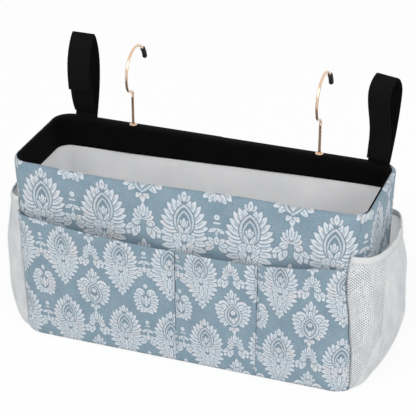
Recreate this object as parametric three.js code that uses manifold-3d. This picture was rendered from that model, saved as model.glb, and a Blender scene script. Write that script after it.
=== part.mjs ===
// A bedside caddy: a soft rectangular basket in printed cloth with three bulged front pockets,
// a mesh pocket on each end, two webbing straps that close with hook and loop tape, and two
// swivelling wire hooks that stand up from the back rim.
// Millimetres. X runs along the caddy, Y to its back, Z up. The origin is the centre of the base.
import * as THREE from "three";
import { mergeVertices } from "three/addons/utils/BufferGeometryUtils.js";
import Module from "manifold-3d";

const wasm = await Module();
wasm.setup();

// Body
const bodyLength = 368;
const bodyDepth = 130;
const bodyHeight = 200;
const rimFlare = 5;
const frontLean = 2;
const frontCornerRadius = 26;
const backCornerRadius = 20;
const hemRadius = 6;
const hemTurn = THREE.MathUtils.degToRad(45);

// Cloth, boards and the clearance between layers
const clothThickness = 1.4;
const stiffenerThickness = 2;
const liningThickness = 1;
const facingThickness = 1;
const facingHeight = 32;
const fitGap = 0.3;
const stiffenerMargin = 3;
const baseBoardThickness = 3;
const baseBoardClearance = 1.2;

// Front pockets
const pocketThickness = 1;
const pocketHeight = 131;
const pocketEndHeight = 143;
const pocketMouthRise = 4;
const pocketFoot = 1;
const tabletPocketEnd = -6;
const phonePocketEnd = 80;
const tabletPocketBulge = 12;
const phonePocketBulge = 9;
const penPocketBulge = 8;

// Mesh pockets
const meshThickness = 1;
const meshFrontHeight = 158;
const meshBackHeight = 150;
const meshBulge = 28;
const meshFootHeight = 76;
const bindingHeight = 9;
const bindingThickness = 2.2;

// Straps. The right one is sewn partly on the back corner, so it turns with it and leans back.
const leftStrapInset = 28;
const rightStrapInset = 16;
const rightStrapLean = THREE.MathUtils.degToRad(5);
const leftStrapRise = 97;
const rightStrapRise = 95;
const leftClosureStart = 37;
const rightClosureStart = 20;
const closureHeight = 21;
const webbingWidth = 25.4;
const webbingThickness = 1.6;
const strapTabHeight = 70;
const shortStrapStart = 3;
const shortStrapOverlap = 2;
const leftLoopFrontBulge = 17;
const rightLoopFrontBulge = 13.5;
const loopBackBulge = 11;
const tapeThickness = 1;
const tapeMargin = 2.2;

// Hooks
const leftHookPlace = -101;
const rightHookPlace = 105;
const wireRadius = 1.5;
const eyeletThickness = 0.6;
const eyeletFlangeRadius = 4.2;
const wireClearance = 0.4;
const hookHeadHeight = 2;
const sleeveWall = 0.8;
const sleeveHeight = 16;
const bracketWidth = 30;
const bracketThickness = 1;
const bracketDrop = 12;
const neckHeight = 38;
const neckBendHeight = 8;
const crookRadius = 26.4;
const crookOffset = 10.4;
const crookCentreHeight = 58.7;
const tipLength = 16;
const tipWall = 1.1;
const tipClearance = 0.4;
const tipDepth = 13;
const rivetRadius = 1.2;
const rivetHeadRadius = 2.4;
const rivetHeadHeight = 1;

// Overrun of a cutting solid past the face that it cuts
const overrun = 2;

// How each pocket rises from its foot and between its side seams
const pocketCrownShare = 0.55;
const pocketRiseShare = 0.75;
const meshCrownShare = 0.65;
const meshRimShare = 0.58;

// How much of the back corner's turn a strap takes that reaches past its start
const strapTurnShare = 0.45;

// Where each strap's loop is widest, and how round its top is
const leftLoopWaistShare = 0.6;
const rightLoopWaistShare = 0.82;
const loopCrownShare = 0.8;

// The arc of a hook's crook
const crookStartTurn = THREE.MathUtils.degToRad(213);
const crookEndTurn = THREE.MathUtils.degToRad(16.6);

// Steps of the curved grids
const cornerSteps = 3;
const endSteps = 6;
const pocketStepsAcross = 12;
const pocketStepsUp = 8;
const meshStepsAcross = 14;
const meshStepsUp = 10;
const wireSides = 10;
const wireSteps = 44;
const crookSteps = 9;
const tipSteps = 8;
const strapSteps = 14;
const closureSteps = 5;
const roundSides = 24;

// Each layer of the wall, by how far its outer face lies inside the outer face of the cloth.
// The back wall also holds the sleeves of the hooks between its cloth and its stiffener.
const eyeletBarrelRadius = wireRadius + wireClearance + eyeletThickness;
const sleeveRadius = wireRadius + wireClearance + sleeveWall;
const hookDepth = clothThickness + fitGap + Math.max(eyeletBarrelRadius + eyeletThickness, sleeveRadius);
const hookY = bodyDepth / 2 - hookDepth;
const clothLayer = { side: 0, back: 0 };
const stiffenerLayer = {
  side: clothThickness + fitGap,
  back: hookDepth + sleeveRadius + fitGap,
};
const liningLayer = innerLayer(stiffenerLayer, stiffenerThickness);
const facingLayer = innerLayer(liningLayer, liningThickness);
const baseBoardLayer = innerLayer(facingLayer, facingThickness + baseBoardClearance);

function innerLayer(layer, thickness) {
  return {
    side: layer.side + thickness + fitGap,
    back: layer.back + thickness + fitGap,
  };
}

// Heights of the wall
const flangeBottom = bodyHeight - facingThickness;
const wallTop = flangeBottom - fitGap;
const hemTop = hemRadius * Math.sin(hemTurn);
const liningBottom = clothThickness + fitGap;
const baseBoardBottom = liningBottom + liningThickness + fitGap;

// The two sides, with the place of each strap's and hook's middle
const sides = [
  {
    label: "left",
    side: -1,
    strapX: leftStrapInset - bodyLength / 2,
    lean: 0,
    rise: leftStrapRise,
    waistShare: leftLoopWaistShare,
    frontBulge: leftLoopFrontBulge,
    closureStart: leftClosureStart,
    hookX: leftHookPlace,
  },
  {
    label: "right",
    side: 1,
    strapX: bodyLength / 2 - rightStrapInset,
    lean: rightStrapLean,
    rise: rightStrapRise,
    waistShare: rightLoopWaistShare,
    frontBulge: rightLoopFrontBulge,
    closureStart: rightClosureStart,
    hookX: rightHookPlace,
  },
];

// How far the wall is drawn in at height z, where its foot curves under
function hemInset(z) {
  const below = Math.max(0, hemTop - z);
  return hemRadius - Math.sqrt(hemRadius * hemRadius - below * below);
}

// The centre and radius of one corner of a layer's plan at height z
function planCorner(side, end, z, layer) {
  const rise = z / bodyHeight;
  const halfLength = bodyLength / 2 + rimFlare * rise - layer.side;
  if (end === "front") {
    const radius = frontCornerRadius - layer.side;
    const halfDepth = bodyDepth / 2 + frontLean * rise - layer.side;
    return { x: side * (halfLength - radius), y: radius - halfDepth, radius };
  }
  const radius = backCornerRadius - layer.side;
  return { x: side * (halfLength - radius), y: bodyDepth / 2 - layer.back - radius, radius };
}

// A station is one upright line of the wall: a place on a corner, or between two corners.
// Its turn is the way its face looks, from 0 at the front to a half turn at the back.
function cornerStation(side, end, turn) {
  return { from: [side, end], to: [side, end], share: 0, side, turn };
}

function lineStation(from, to, share, side, turn) {
  return { from, to, share, side, turn };
}

// A point of a station at height z, at a depth inside the layer's outer face
function wallPoint(station, z, layer, depth) {
  const a = planCorner(...station.from, z, layer);
  const b = planCorner(...station.to, z, layer);
  const radius = THREE.MathUtils.lerp(a.radius, b.radius, station.share);
  const outX = station.side * Math.sin(station.turn);
  const outY = -Math.cos(station.turn);
  const reach = radius - depth - hemInset(z);
  return new THREE.Vector3(
    THREE.MathUtils.lerp(a.x, b.x, station.share) + outX * reach,
    THREE.MathUtils.lerp(a.y, b.y, station.share) + outY * reach,
    z,
  );
}

const quarterTurn = Math.PI / 2;
const seamTurn = quarterTurn / 2;
const backSeamTurn = Math.PI - seamTurn;

// The front wall from seam to seam: share -1 is the left corner seam and 1 the right one
const frontStraight = bodyLength / 2 - frontCornerRadius;
const frontHalfWidth = frontStraight + frontCornerRadius * seamTurn;
const frontStraightShare = frontStraight / frontHalfWidth;

function frontStation(share) {
  const side = share < 0 ? -1 : 1;
  const past = Math.abs(share) - frontStraightShare;
  if (past > 0) return cornerStation(side, "front", (past / (1 - frontStraightShare)) * seamTurn);
  return lineStation([-1, "front"], [1, "front"], (1 + share / frontStraightShare) / 2, 1, 0);
}

// An end wall from its front seam, share 0, to its back seam, share 1
const endStraight = bodyDepth - frontCornerRadius - backCornerRadius;
const endFrontArc = frontCornerRadius * (quarterTurn - seamTurn);
const endBackArc = backCornerRadius * (backSeamTurn - quarterTurn);
const endWidth = endFrontArc + endStraight + endBackArc;

function endStation(side, share) {
  const along = share * endWidth;
  if (along < endFrontArc) return cornerStation(side, "front", seamTurn + along / frontCornerRadius);
  const past = along - endFrontArc - endStraight;
  if (past > 0) return cornerStation(side, "back", quarterTurn + past / backCornerRadius);
  return lineStation([side, "front"], [side, "back"], (along - endFrontArc) / endStraight, side, quarterTurn);
}

function range(count) {
  return Array.from({ length: count + 1 }, (_, step) => step / count);
}

// Shares of a whole run that is divided at the given stops, each stretch into its own count
function stretchShares(stops, counts) {
  const first = stops[0];
  const whole = stops[stops.length - 1] - first;
  const inner = counts.flatMap((count, i) =>
    range(count)
      .slice(0, -1)
      .map((share) => (THREE.MathUtils.lerp(stops[i], stops[i + 1], share) - first) / whole),
  );
  return [...inner, 1];
}

// Stations of each wall, with half a clearance kept at every seam
function frontStations() {
  const seam = fitGap / 2 / frontCornerRadius;
  const arc = range(cornerSteps).map((share) => share * (seamTurn - seam));
  const left = arc.map((turn) => cornerStation(-1, "front", turn)).reverse();
  const right = arc.map((turn) => cornerStation(1, "front", turn));
  return [...left, ...right];
}

function endStations(side) {
  const frontSeam = seamTurn + fitGap / 2 / frontCornerRadius;
  const backSeam = backSeamTurn - fitGap / 2 / backCornerRadius;
  const front = range(cornerSteps).map((share) =>
    cornerStation(side, "front", THREE.MathUtils.lerp(frontSeam, quarterTurn, share)),
  );
  const straight = endStraightStations(side, 0).slice(1, -1);
  const back = range(cornerSteps).map((share) =>
    cornerStation(side, "back", THREE.MathUtils.lerp(quarterTurn, backSeam, share)),
  );
  return [...front, ...straight, ...back];
}

function endStraightStations(side, marginShare) {
  return range(endSteps).map((share) =>
    lineStation(
      [side, "front"],
      [side, "back"],
      THREE.MathUtils.lerp(marginShare, 1 - marginShare, share),
      side,
      quarterTurn,
    ),
  );
}

function backStations() {
  const seam = backSeamTurn + fitGap / 2 / backCornerRadius;
  const arc = range(cornerSteps).map((share) => THREE.MathUtils.lerp(seam, Math.PI, share));
  const right = arc.map((turn) => cornerStation(1, "back", turn));
  const left = arc.map((turn) => cornerStation(-1, "back", turn)).reverse();
  return [...right, ...left];
}

// All round the body, anticlockwise from the front left corner
function ringStations() {
  const turns = range(cornerSteps).map((share) => share * quarterTurn);
  const backTurns = turns.map((turn) => quarterTurn + turn);
  return [
    ...turns.map((turn) => cornerStation(1, "front", turn)),
    ...endStraightStations(1, 0).slice(1, -1),
    ...backTurns.map((turn) => cornerStation(1, "back", turn)),
    ...backTurns.map((turn) => cornerStation(-1, "back", turn)).reverse(),
    ...endStraightStations(-1, 0).slice(1, -1).reverse(),
    ...turns.map((turn) => cornerStation(-1, "front", turn)).reverse(),
  ];
}

// Joins equal closed sections into one solid, capped at both ends or closed into a ring.
// A cap is a strip between the first and second half of its section.
function loft(sections, closed) {
  const size = sections[0].length;
  const positions = sections.flat().flatMap((p) => [p.x, p.y, p.z]);
  const faces = [];
  const spans = closed ? sections.length : sections.length - 1;
  for (let i = 0; i < spans; i++) {
    const next = (i + 1) % sections.length;
    for (let j = 0; j < size; j++) {
      const k = (j + 1) % size;
      faces.push(i * size + j, next * size + j, next * size + k);
      faces.push(i * size + j, next * size + k, i * size + k);
    }
  }
  if (!closed) {
    const last = (sections.length - 1) * size;
    for (let j = 0; j < size / 2 - 1; j++) {
      const across = size - 1 - j;
      faces.push(j, j + 1, across - 1, j, across - 1, across);
      faces.push(last + j, last + across - 1, last + j + 1, last + j, last + across, last + across - 1);
    }
  }
  const geometry = new THREE.BufferGeometry();
  geometry.setAttribute("position", new THREE.Float32BufferAttribute(positions, 3));
  geometry.setIndex(faces);
  return facingOut(geometry);
}

function facingOut(geometry) {
  const at = geometry.getAttribute("position");
  const index = geometry.getIndex().array;
  const corner = (i) => new THREE.Vector3().fromBufferAttribute(at, index[i]);
  let volume = 0;
  for (let i = 0; i < index.length; i += 3) {
    volume += corner(i).dot(corner(i + 1).cross(corner(i + 2)));
  }
  if (volume < 0) {
    for (let i = 0; i < index.length; i += 3) [index[i], index[i + 1]] = [index[i + 1], index[i]];
  }
  geometry.computeVertexNormals();
  return geometry;
}

// Boolean work on closed geometries
function solidOf(geometry) {
  const bare = new THREE.BufferGeometry();
  bare.setAttribute("position", geometry.getAttribute("position"));
  if (geometry.getIndex()) bare.setIndex(geometry.getIndex());
  const merged = mergeVertices(bare, 1e-4);
  return new wasm.Manifold(
    new wasm.Mesh({
      numProp: 3,
      vertProperties: new Float32Array(merged.getAttribute("position").array),
      triVerts: new Uint32Array(merged.getIndex().array),
    }),
  );
}

function geometryOf(solid) {
  const mesh = solid.getMesh();
  const geometry = new THREE.BufferGeometry();
  geometry.setAttribute("position", new THREE.Float32BufferAttribute(mesh.vertProperties, 3));
  geometry.setIndex(Array.from(mesh.triVerts));
  geometry.computeVertexNormals();
  return geometry;
}

function joined(first, ...others) {
  return geometryOf(others.reduce((all, other) => all.add(solidOf(other)), solidOf(first)));
}

function cut(first, ...others) {
  return geometryOf(others.reduce((all, other) => all.subtract(solidOf(other)), solidOf(first)));
}

// An upright wall sheet through the given stations and heights
function wallSheet(stations, heights, layer, thickness, closed = false) {
  const sections = stations.map((station) => [
    ...heights.map((z) => wallPoint(station, z, layer, 0)),
    ...heights.map((z) => wallPoint(station, z, layer, thickness)).reverse(),
  ]);
  return loft(sections, closed);
}

// A level plate that fills a layer's plan at height z, drawn in by a depth
function planPlate(z, thickness, layer, depth) {
  const outline = ringStations().map((station) => {
    const p = wallPoint(station, z, layer, depth);
    return new THREE.Vector2(p.x, p.y);
  });
  const plate = new THREE.ExtrudeGeometry(new THREE.Shape(outline), { depth: thickness, bevelEnabled: false });
  return plate.translate(0, 0, z);
}

// A curved sheet from a formula for its outer face, made solid inwards along its own normals
function curvedSheet(outerPoint, thickness, sharesAcross, stepsUp) {
  const step = 1e-3;
  const normalAt = (u, v) => {
    const across = outerPoint(Math.min(1, u + step), v).sub(outerPoint(Math.max(0, u - step), v));
    const up = outerPoint(u, Math.min(1, v + step)).sub(outerPoint(u, Math.max(0, v - step)));
    return across.cross(up).normalize();
  };
  const sections = sharesAcross.map((u) => {
    const shares = range(stepsUp);
    const outer = shares.map((v) => outerPoint(u, v));
    const inner = shares.map((v) => outerPoint(u, v).addScaledVector(normalAt(u, v), -thickness));
    return [...outer, ...inner.reverse()];
  });
  return loft(sections, false);
}

// Flat webbing along points of the Y Z plane, centred on X
function ribbon(points, width, thickness) {
  const sections = points.map((point, i) => {
    const before = points[Math.max(0, i - 1)];
    const after = points[Math.min(points.length - 1, i + 1)];
    const along = after.clone().sub(before).normalize();
    const out = new THREE.Vector2(-along.y, along.x).multiplyScalar(thickness / 2);
    const near = point.clone().add(out);
    const far = point.clone().sub(out);
    return [
      new THREE.Vector3(-width / 2, near.x, near.y),
      new THREE.Vector3(width / 2, near.x, near.y),
      new THREE.Vector3(width / 2, far.x, far.y),
      new THREE.Vector3(-width / 2, far.x, far.y),
    ];
  });
  return loft(sections, false);
}

function roundBar(radius, length) {
  return new THREE.CylinderGeometry(radius, radius, length, roundSides);
}

// Materials
function finish(color, roughness, metalness = 0) {
  return new THREE.MeshStandardMaterial({ color, roughness, metalness });
}

const printedCloth = finish(0x9db7c8, 0.9);
const blackCloth = finish(0x1b1c1e, 0.92);
const greyLining = finish(0x9a9c9f, 0.9);
const fibreBoard = finish(0xb7a58a, 0.95);
const whiteMesh = finish(0xe3e5e7, 0.8);
const whiteBinding = finish(0xdadcde, 0.85);
const blackWebbing = finish(0x151617, 0.9);
const blackTape = finish(0x202123, 1);
const roseGoldWire = finish(0xc98f6f, 0.28, 1);
const blackRubber = finish(0x141414, 0.6);
const plainSteel = finish(0xb9bcc0, 0.4, 1);

const caddy = new THREE.Group();

function place(parent, name, geometry, material, x = 0, y = 0, z = 0) {
  const mesh = new THREE.Mesh(geometry, material);
  mesh.name = name;
  mesh.position.set(x, y, z);
  parent.add(mesh);
}

// The outer shell of cloth
const clothHeights = [0, hemTop / 4, hemTop / 2, hemTop, wallTop];

function addShell() {
  place(caddy, "front_panel", wallSheet(frontStations(), clothHeights, clothLayer, clothThickness), printedCloth);
  place(caddy, "back_panel", wallSheet(backStations(), clothHeights, clothLayer, clothThickness), blackCloth);
  for (const { label, side } of sides) {
    const panel = wallSheet(endStations(side), clothHeights, clothLayer, clothThickness);
    place(caddy, `${label}_side_panel`, panel, printedCloth);
  }
  const bottom = planPlate(0, clothThickness, clothLayer, clothThickness + fitGap);
  place(caddy, "bottom_panel", bottom, blackCloth);
}

// Stiff boards between the cloth and the lining
function addStiffeners() {
  const heights = [hemTop, wallTop - stiffenerMargin];
  const frontBoard = wallSheet(
    [cornerStation(-1, "front", 0), cornerStation(1, "front", 0)],
    heights,
    stiffenerLayer,
    stiffenerThickness,
  );
  place(caddy, "front_stiffener", frontBoard, fibreBoard);
  const marginShare = stiffenerMargin / endStraight;
  for (const { label, side } of sides) {
    const frontPart = endStraightStations(side, marginShare);
    const endBoard = wallSheet(frontPart, heights, stiffenerLayer, stiffenerThickness);
    place(caddy, `${label}_side_stiffener`, endBoard, fibreBoard);
  }
  const backBoard = wallSheet(
    [cornerStation(1, "back", Math.PI), cornerStation(-1, "back", Math.PI)],
    heights,
    stiffenerLayer,
    stiffenerThickness,
  );
  place(caddy, "back_stiffener", cut(backBoard, ...rivetHoles()), fibreBoard);
}

// The lining: a thin tub with a floor
function addLining() {
  const heights = [liningBottom, hemTop, wallTop];
  const walls = wallSheet(ringStations(), heights, liningLayer, liningThickness, true);
  const floor = planPlate(liningBottom, liningThickness, liningLayer, liningThickness / 2);
  place(caddy, "lining", joined(walls, floor), greyLining);
}

// The facing: a band inside the rim whose top turns out over the wall
function addFacing() {
  const bandBottom = bodyHeight - facingHeight;
  const sections = ringStations().map((station) => [
    wallPoint(station, bodyHeight, clothLayer, 0),
    wallPoint(station, bodyHeight, facingLayer, facingThickness),
    wallPoint(station, bandBottom, facingLayer, facingThickness),
    wallPoint(station, bandBottom, facingLayer, 0),
    wallPoint(station, flangeBottom, facingLayer, 0),
    wallPoint(station, flangeBottom, clothLayer, 0),
  ]);
  const flangeMiddle = bodyHeight - facingThickness / 2;
  const holes = sides.map(({ hookX }) =>
    roundBar(eyeletBarrelRadius + fitGap, facingThickness + 2 * overrun)
      .rotateX(quarterTurn)
      .translate(hookX, hookY, flangeMiddle),
  );
  const slots = sides.map((strap) =>
    new THREE.BoxGeometry(webbingWidth + 2 * fitGap, webbingThickness + 2 * fitGap, facingThickness + 2 * overrun)
      .rotateZ(strapTurn(strap))
      .translate(strap.strapX, strapRootY(strap), flangeMiddle),
  );
  place(caddy, "rim_facing", cut(loft(sections, true), ...holes, ...slots), blackCloth);
}

function addBaseBoard() {
  const board = planPlate(baseBoardBottom, baseBoardThickness, baseBoardLayer, 0);
  place(caddy, "base_board", board, greyLining);
}

// One bulged pocket on the front, between two places along the front cloth.
// It meets its neighbours and the corner seams with half a clearance on each side.
function frontPocket(from, to, mouthHeights, bulge) {
  const start = from + fitGap / 2;
  const end = to - fitGap / 2;
  return (u, v) => {
    const along = THREE.MathUtils.lerp(start, end, u) / frontHalfWidth;
    const crown = Math.sin(Math.PI * u) ** pocketCrownShare;
    const mouth = THREE.MathUtils.lerp(...mouthHeights, u) + pocketMouthRise * crown;
    const z = THREE.MathUtils.lerp(pocketFoot, mouth, v);
    const out = fitGap + pocketThickness + bulge * crown * v ** pocketRiseShare;
    return wallPoint(frontStation(along), z, clothLayer, -out - hemInset(z));
  };
}

function addFrontPockets() {
  const steps = [pocketStepsAcross];
  const pockets = [
    {
      name: "tablet_pocket",
      stops: [-frontHalfWidth, -frontStraight, tabletPocketEnd],
      counts: [cornerSteps, ...steps],
      mouthHeights: [pocketEndHeight, pocketHeight],
      bulge: tabletPocketBulge,
    },
    {
      name: "phone_pocket",
      stops: [tabletPocketEnd, phonePocketEnd],
      counts: steps,
      mouthHeights: [pocketHeight, pocketHeight],
      bulge: phonePocketBulge,
    },
    {
      name: "pen_pocket",
      stops: [phonePocketEnd, frontStraight, frontHalfWidth],
      counts: [...steps, cornerSteps],
      mouthHeights: [pocketHeight, pocketEndHeight],
      bulge: penPocketBulge,
    },
  ];
  for (const { name, stops, counts, mouthHeights, bulge } of pockets) {
    const outer = frontPocket(stops[0], stops[stops.length - 1], mouthHeights, bulge);
    const shares = stretchShares(stops, counts);
    place(caddy, name, curvedSheet(outer, pocketThickness, shares, pocketStepsUp), printedCloth);
  }
}

// The mesh pocket on one end. Its foot runs straight out from the seam and curves up.
function meshHeightAt(share) {
  return THREE.MathUtils.lerp(meshFrontHeight, meshBackHeight, share);
}

function meshOut(share, z) {
  const crown = Math.sin(Math.PI * share) ** meshCrownShare;
  const foot = Math.min(1, z / meshFootHeight);
  const footRise = Math.sqrt(1 - (1 - foot) ** 2);
  const above = Math.max(0, z - meshFootHeight) / (meshHeightAt(share) - meshFootHeight);
  return meshBulge * crown * footRise * (1 - (1 - meshRimShare) * above * above);
}

function meshSurface(side, heightFrom, heightTo, extra) {
  const seam = fitGap / 2 / endWidth;
  const bottom = fitGap + meshThickness;
  return (u, v) => {
    const share = THREE.MathUtils.lerp(seam, 1 - seam, side > 0 ? u : 1 - u);
    const low = heightFrom(share);
    const height = low + v * (heightTo(share) - low);
    const z = bottom + height;
    const out = bottom + extra + meshOut(share, height) + hemInset(z);
    return wallPoint(endStation(side, share), z, clothLayer, -out);
  };
}

function addMeshPockets() {
  const foot = () => 0;
  const netTop = (share) => meshHeightAt(share) - bindingHeight - fitGap;
  const bindingFoot = (share) => meshHeightAt(share) - bindingHeight;
  const spare = bindingThickness - meshThickness;
  const endStops = [0, endFrontArc, endFrontArc + endStraight, endWidth];
  const fromFront = stretchShares(endStops, [cornerSteps, meshStepsAcross, cornerSteps]);
  const fromBack = fromFront.map((share) => 1 - share).reverse();
  for (const { label, side } of sides) {
    const shares = side > 0 ? fromFront : fromBack;
    const net = curvedSheet(meshSurface(side, foot, netTop, 0), meshThickness, shares, meshStepsUp);
    const band = curvedSheet(meshSurface(side, bindingFoot, meshHeightAt, spare), bindingThickness, shares, 1);
    place(caddy, `${label}_mesh_pocket`, net, whiteMesh);
    place(caddy, `${label}_mesh_binding`, band, whiteBinding);
  }
}

// Straps. Each long strap ends in a tab that is sewn inside the back wall and comes up through
// a slot in the rim. It rises behind, turns over at the top and comes down in front as a flap.
// The flap closes with hook and loop tape on a short strap that is sewn to the foot of the long one.
const strapPivotZ = bodyHeight + webbingThickness / 2 + 2 * fitGap;
const layerPitch = webbingThickness + fitGap;
const hookTapeInset = webbingThickness / 2 + fitGap + tapeThickness / 2;
const loopTapeInset = hookTapeInset + tapeThickness + fitGap;
const shortStrapInset = loopTapeInset + tapeThickness / 2 + fitGap + webbingThickness / 2;

// A strap turns with the back corner by how far it reaches past the corner's start
function strapTurn({ side, strapX }) {
  const cornerStart = bodyLength / 2 + rimFlare - backCornerRadius;
  const past = Math.max(0, Math.abs(strapX) + webbingWidth / 2 - cornerStart);
  return -side * strapTurnShare * Math.asin(past / backCornerRadius);
}

// The tab lies against the inside of the back cloth, drawn in where it turns with the corner
function strapRootY(strap) {
  const turn = Math.abs(strapTurn(strap));
  const drawnIn = (webbingThickness / 2) * Math.cos(turn) + (webbingWidth / 2) * Math.sin(turn);
  return bodyDepth / 2 - clothThickness - fitGap - drawnIn;
}

function loopHeight({ rise }) {
  return bodyHeight + rise - webbingThickness / 2 - strapPivotZ;
}

// How far the loop bulges at a share of its height
function loopBulge({ waistShare }, share) {
  if (share < waistShare) return Math.sin((quarterTurn * share) / waistShare);
  const above = Math.min(1, (share - waistShare) / (1 - waistShare));
  return (1 - above * above) ** loopCrownShare;
}

// A point of the loop's centre line from the strap's foot, front or back, drawn in by an inset
function loopPoint(strap, bulge, share, inset) {
  const step = 1e-3;
  const at = (t) => new THREE.Vector2(bulge * loopBulge(strap, t), t * loopHeight(strap));
  const along = at(share).sub(at(share - step)).normalize();
  const drawn = Math.sign(bulge) * inset;
  return at(share).add(new THREE.Vector2(-along.y * drawn, along.x * drawn));
}

// Shares of the loop's height that lie closer together near its top
function loopShares(from, to, steps) {
  const turnAt = (share) => Math.asin(share);
  return range(steps).map((step) => Math.sin(THREE.MathUtils.lerp(turnAt(from), turnAt(to), step)));
}

function heightShare(strap, height) {
  return (bodyHeight + height - strapPivotZ) / loopHeight(strap);
}

// The long strap stops short of the fold at the top, where the flap begins
function strapWebbing(strap) {
  const fold = new THREE.Vector2(0, loopHeight(strap));
  const rise = loopShares(0, 1, strapSteps)
    .map((share) => loopPoint(strap, loopBackBulge, share, 0))
    .filter((point) => point.distanceTo(fold) > webbingThickness + fitGap);
  const clear = webbingThickness / 2 + fitGap;
  const end = rise[rise.length - 1].clone().sub(fold).setLength(clear).add(fold);
  const run = ribbon([...rise, end], webbingWidth, webbingThickness);
  return joined(run, roundBar(webbingThickness / 2, webbingWidth).rotateZ(quarterTurn));
}

function strapFlap(strap) {
  const end = heightShare(strap, strap.closureStart);
  const run = loopShares(end, 1, strapSteps).map((share) => loopPoint(strap, -strap.frontBulge, share, 0));
  run[run.length - 1].set(0, loopHeight(strap));
  const root = roundBar(webbingThickness / 2, webbingWidth)
    .rotateZ(quarterTurn)
    .translate(0, 0, loopHeight(strap));
  return joined(ribbon(run, webbingWidth, webbingThickness), root);
}

// The short strap keeps to the front of the long one until the loop opens
function shortStrap(strap) {
  const top = heightShare(strap, strap.closureStart + closureHeight + shortStrapOverlap);
  const points = loopShares(shortStrapStart / loopHeight(strap), top, strapSteps).map((share) => {
    const front = loopPoint(strap, -strap.frontBulge, share, shortStrapInset);
    const back = loopPoint(strap, loopBackBulge, share, layerPitch);
    return front.x < back.x ? front : back;
  });
  return ribbon(points, webbingWidth, webbingThickness);
}

function tape(strap, inset) {
  const from = heightShare(strap, strap.closureStart + tapeMargin);
  const to = heightShare(strap, strap.closureStart + closureHeight);
  const points = loopShares(from, to, closureSteps).map((share) => loopPoint(strap, -strap.frontBulge, share, inset));
  return ribbon(points, webbingWidth - 2 * tapeMargin, tapeThickness);
}

function addStraps() {
  for (const strap of sides) {
    const root = new THREE.Group();
    root.position.set(strap.strapX, strapRootY(strap), strapPivotZ);
    root.rotation.z = strapTurn(strap);
    caddy.add(root);
    const tabTop = bodyHeight + fitGap;
    const tab = new THREE.BoxGeometry(webbingWidth, webbingThickness, strapTabHeight);
    place(root, `${strap.label}_strap_tab`, tab, blackWebbing, 0, 0, tabTop - strapTabHeight / 2 - strapPivotZ);
    const loop = new THREE.Group();
    loop.rotation.x = -strap.lean;
    root.add(loop);
    place(loop, `${strap.label}_strap_webbing`, strapWebbing(strap), blackWebbing);
    place(loop, `${strap.label}_strap_flap`, strapFlap(strap), blackWebbing);
    place(loop, `${strap.label}_short_strap`, shortStrap(strap), blackWebbing);
    place(loop, `${strap.label}_loop_tape`, tape(strap, loopTapeInset), blackTape);
    place(loop, `${strap.label}_hook_tape`, tape(strap, hookTapeInset), blackTape);
  }
}

// Hooks. Each wire turns in a sleeve on a bracket that is riveted to the back stiffener,
// and leaves the rim through an eyelet.
const sleeveTop = bodyHeight - bracketDrop;
const sleeveBottom = sleeveTop - sleeveHeight;
const headTop = sleeveBottom - fitGap;
const headBottom = headTop - hookHeadHeight;
const crookCentre = new THREE.Vector3(0, crookOffset, bodyHeight + crookCentreHeight);

function crookPoint(turn) {
  return new THREE.Vector3(
    0,
    crookCentre.y + crookRadius * Math.cos(turn),
    crookCentre.z + crookRadius * Math.sin(turn),
  );
}

// The wire's centre line in its own plane: an upright neck, a kink and the crook's arc
function wirePath() {
  const neckTop = bodyHeight + neckHeight;
  const points = [
    new THREE.Vector3(0, 0, headBottom),
    new THREE.Vector3(0, 0, bodyHeight),
    new THREE.Vector3(0, 0, neckTop - neckBendHeight),
    new THREE.Vector3(0, 0, neckTop),
  ];
  for (const share of range(crookSteps)) {
    points.push(crookPoint(THREE.MathUtils.lerp(crookStartTurn, crookEndTurn, share)));
  }
  return new THREE.CatmullRomCurve3(points, false, "centripetal");
}

function circleShape(radius) {
  const corners = range(wireSides)
    .slice(0, -1)
    .map((share) => share * 2 * Math.PI)
    .map((turn) => new THREE.Vector2(radius * Math.cos(turn), radius * Math.sin(turn)));
  return new THREE.Shape(corners);
}

function tube(path, radius, steps) {
  return new THREE.ExtrudeGeometry(circleShape(radius), { extrudePath: path, steps, bevelEnabled: false });
}

function hookWire() {
  const head = roundBar(sleeveRadius, hookHeadHeight)
    .rotateX(quarterTurn)
    .translate(0, 0, headBottom + hookHeadHeight / 2);
  return joined(tube(wirePath(), wireRadius, wireSteps), head);
}

// The rubber tip: a round-ended cap with a blind bore for the end of the wire
function hookTip() {
  const turnBack = (length) => length / crookRadius;
  const capPath = arcPath(crookEndTurn + turnBack(tipDepth), crookEndTurn - turnBack(tipLength - tipDepth));
  const borePath = arcPath(crookEndTurn + turnBack(tipDepth + overrun), crookEndTurn - turnBack(tipClearance));
  const capRadius = wireRadius + tipClearance + tipWall;
  const end = crookPoint(crookEndTurn - turnBack(tipLength - tipDepth));
  const dome = new THREE.SphereGeometry(capRadius, wireSides, wireSides / 2).translate(end.x, end.y, end.z);
  const bore = tube(borePath, wireRadius + tipClearance, tipSteps);
  return cut(joined(tube(capPath, capRadius, tipSteps), dome), bore);
}

function arcPath(from, to) {
  const points = range(4).map((share) => crookPoint(THREE.MathUtils.lerp(from, to, share)));
  return new THREE.CatmullRomCurve3(points, false, "centripetal");
}

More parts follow.
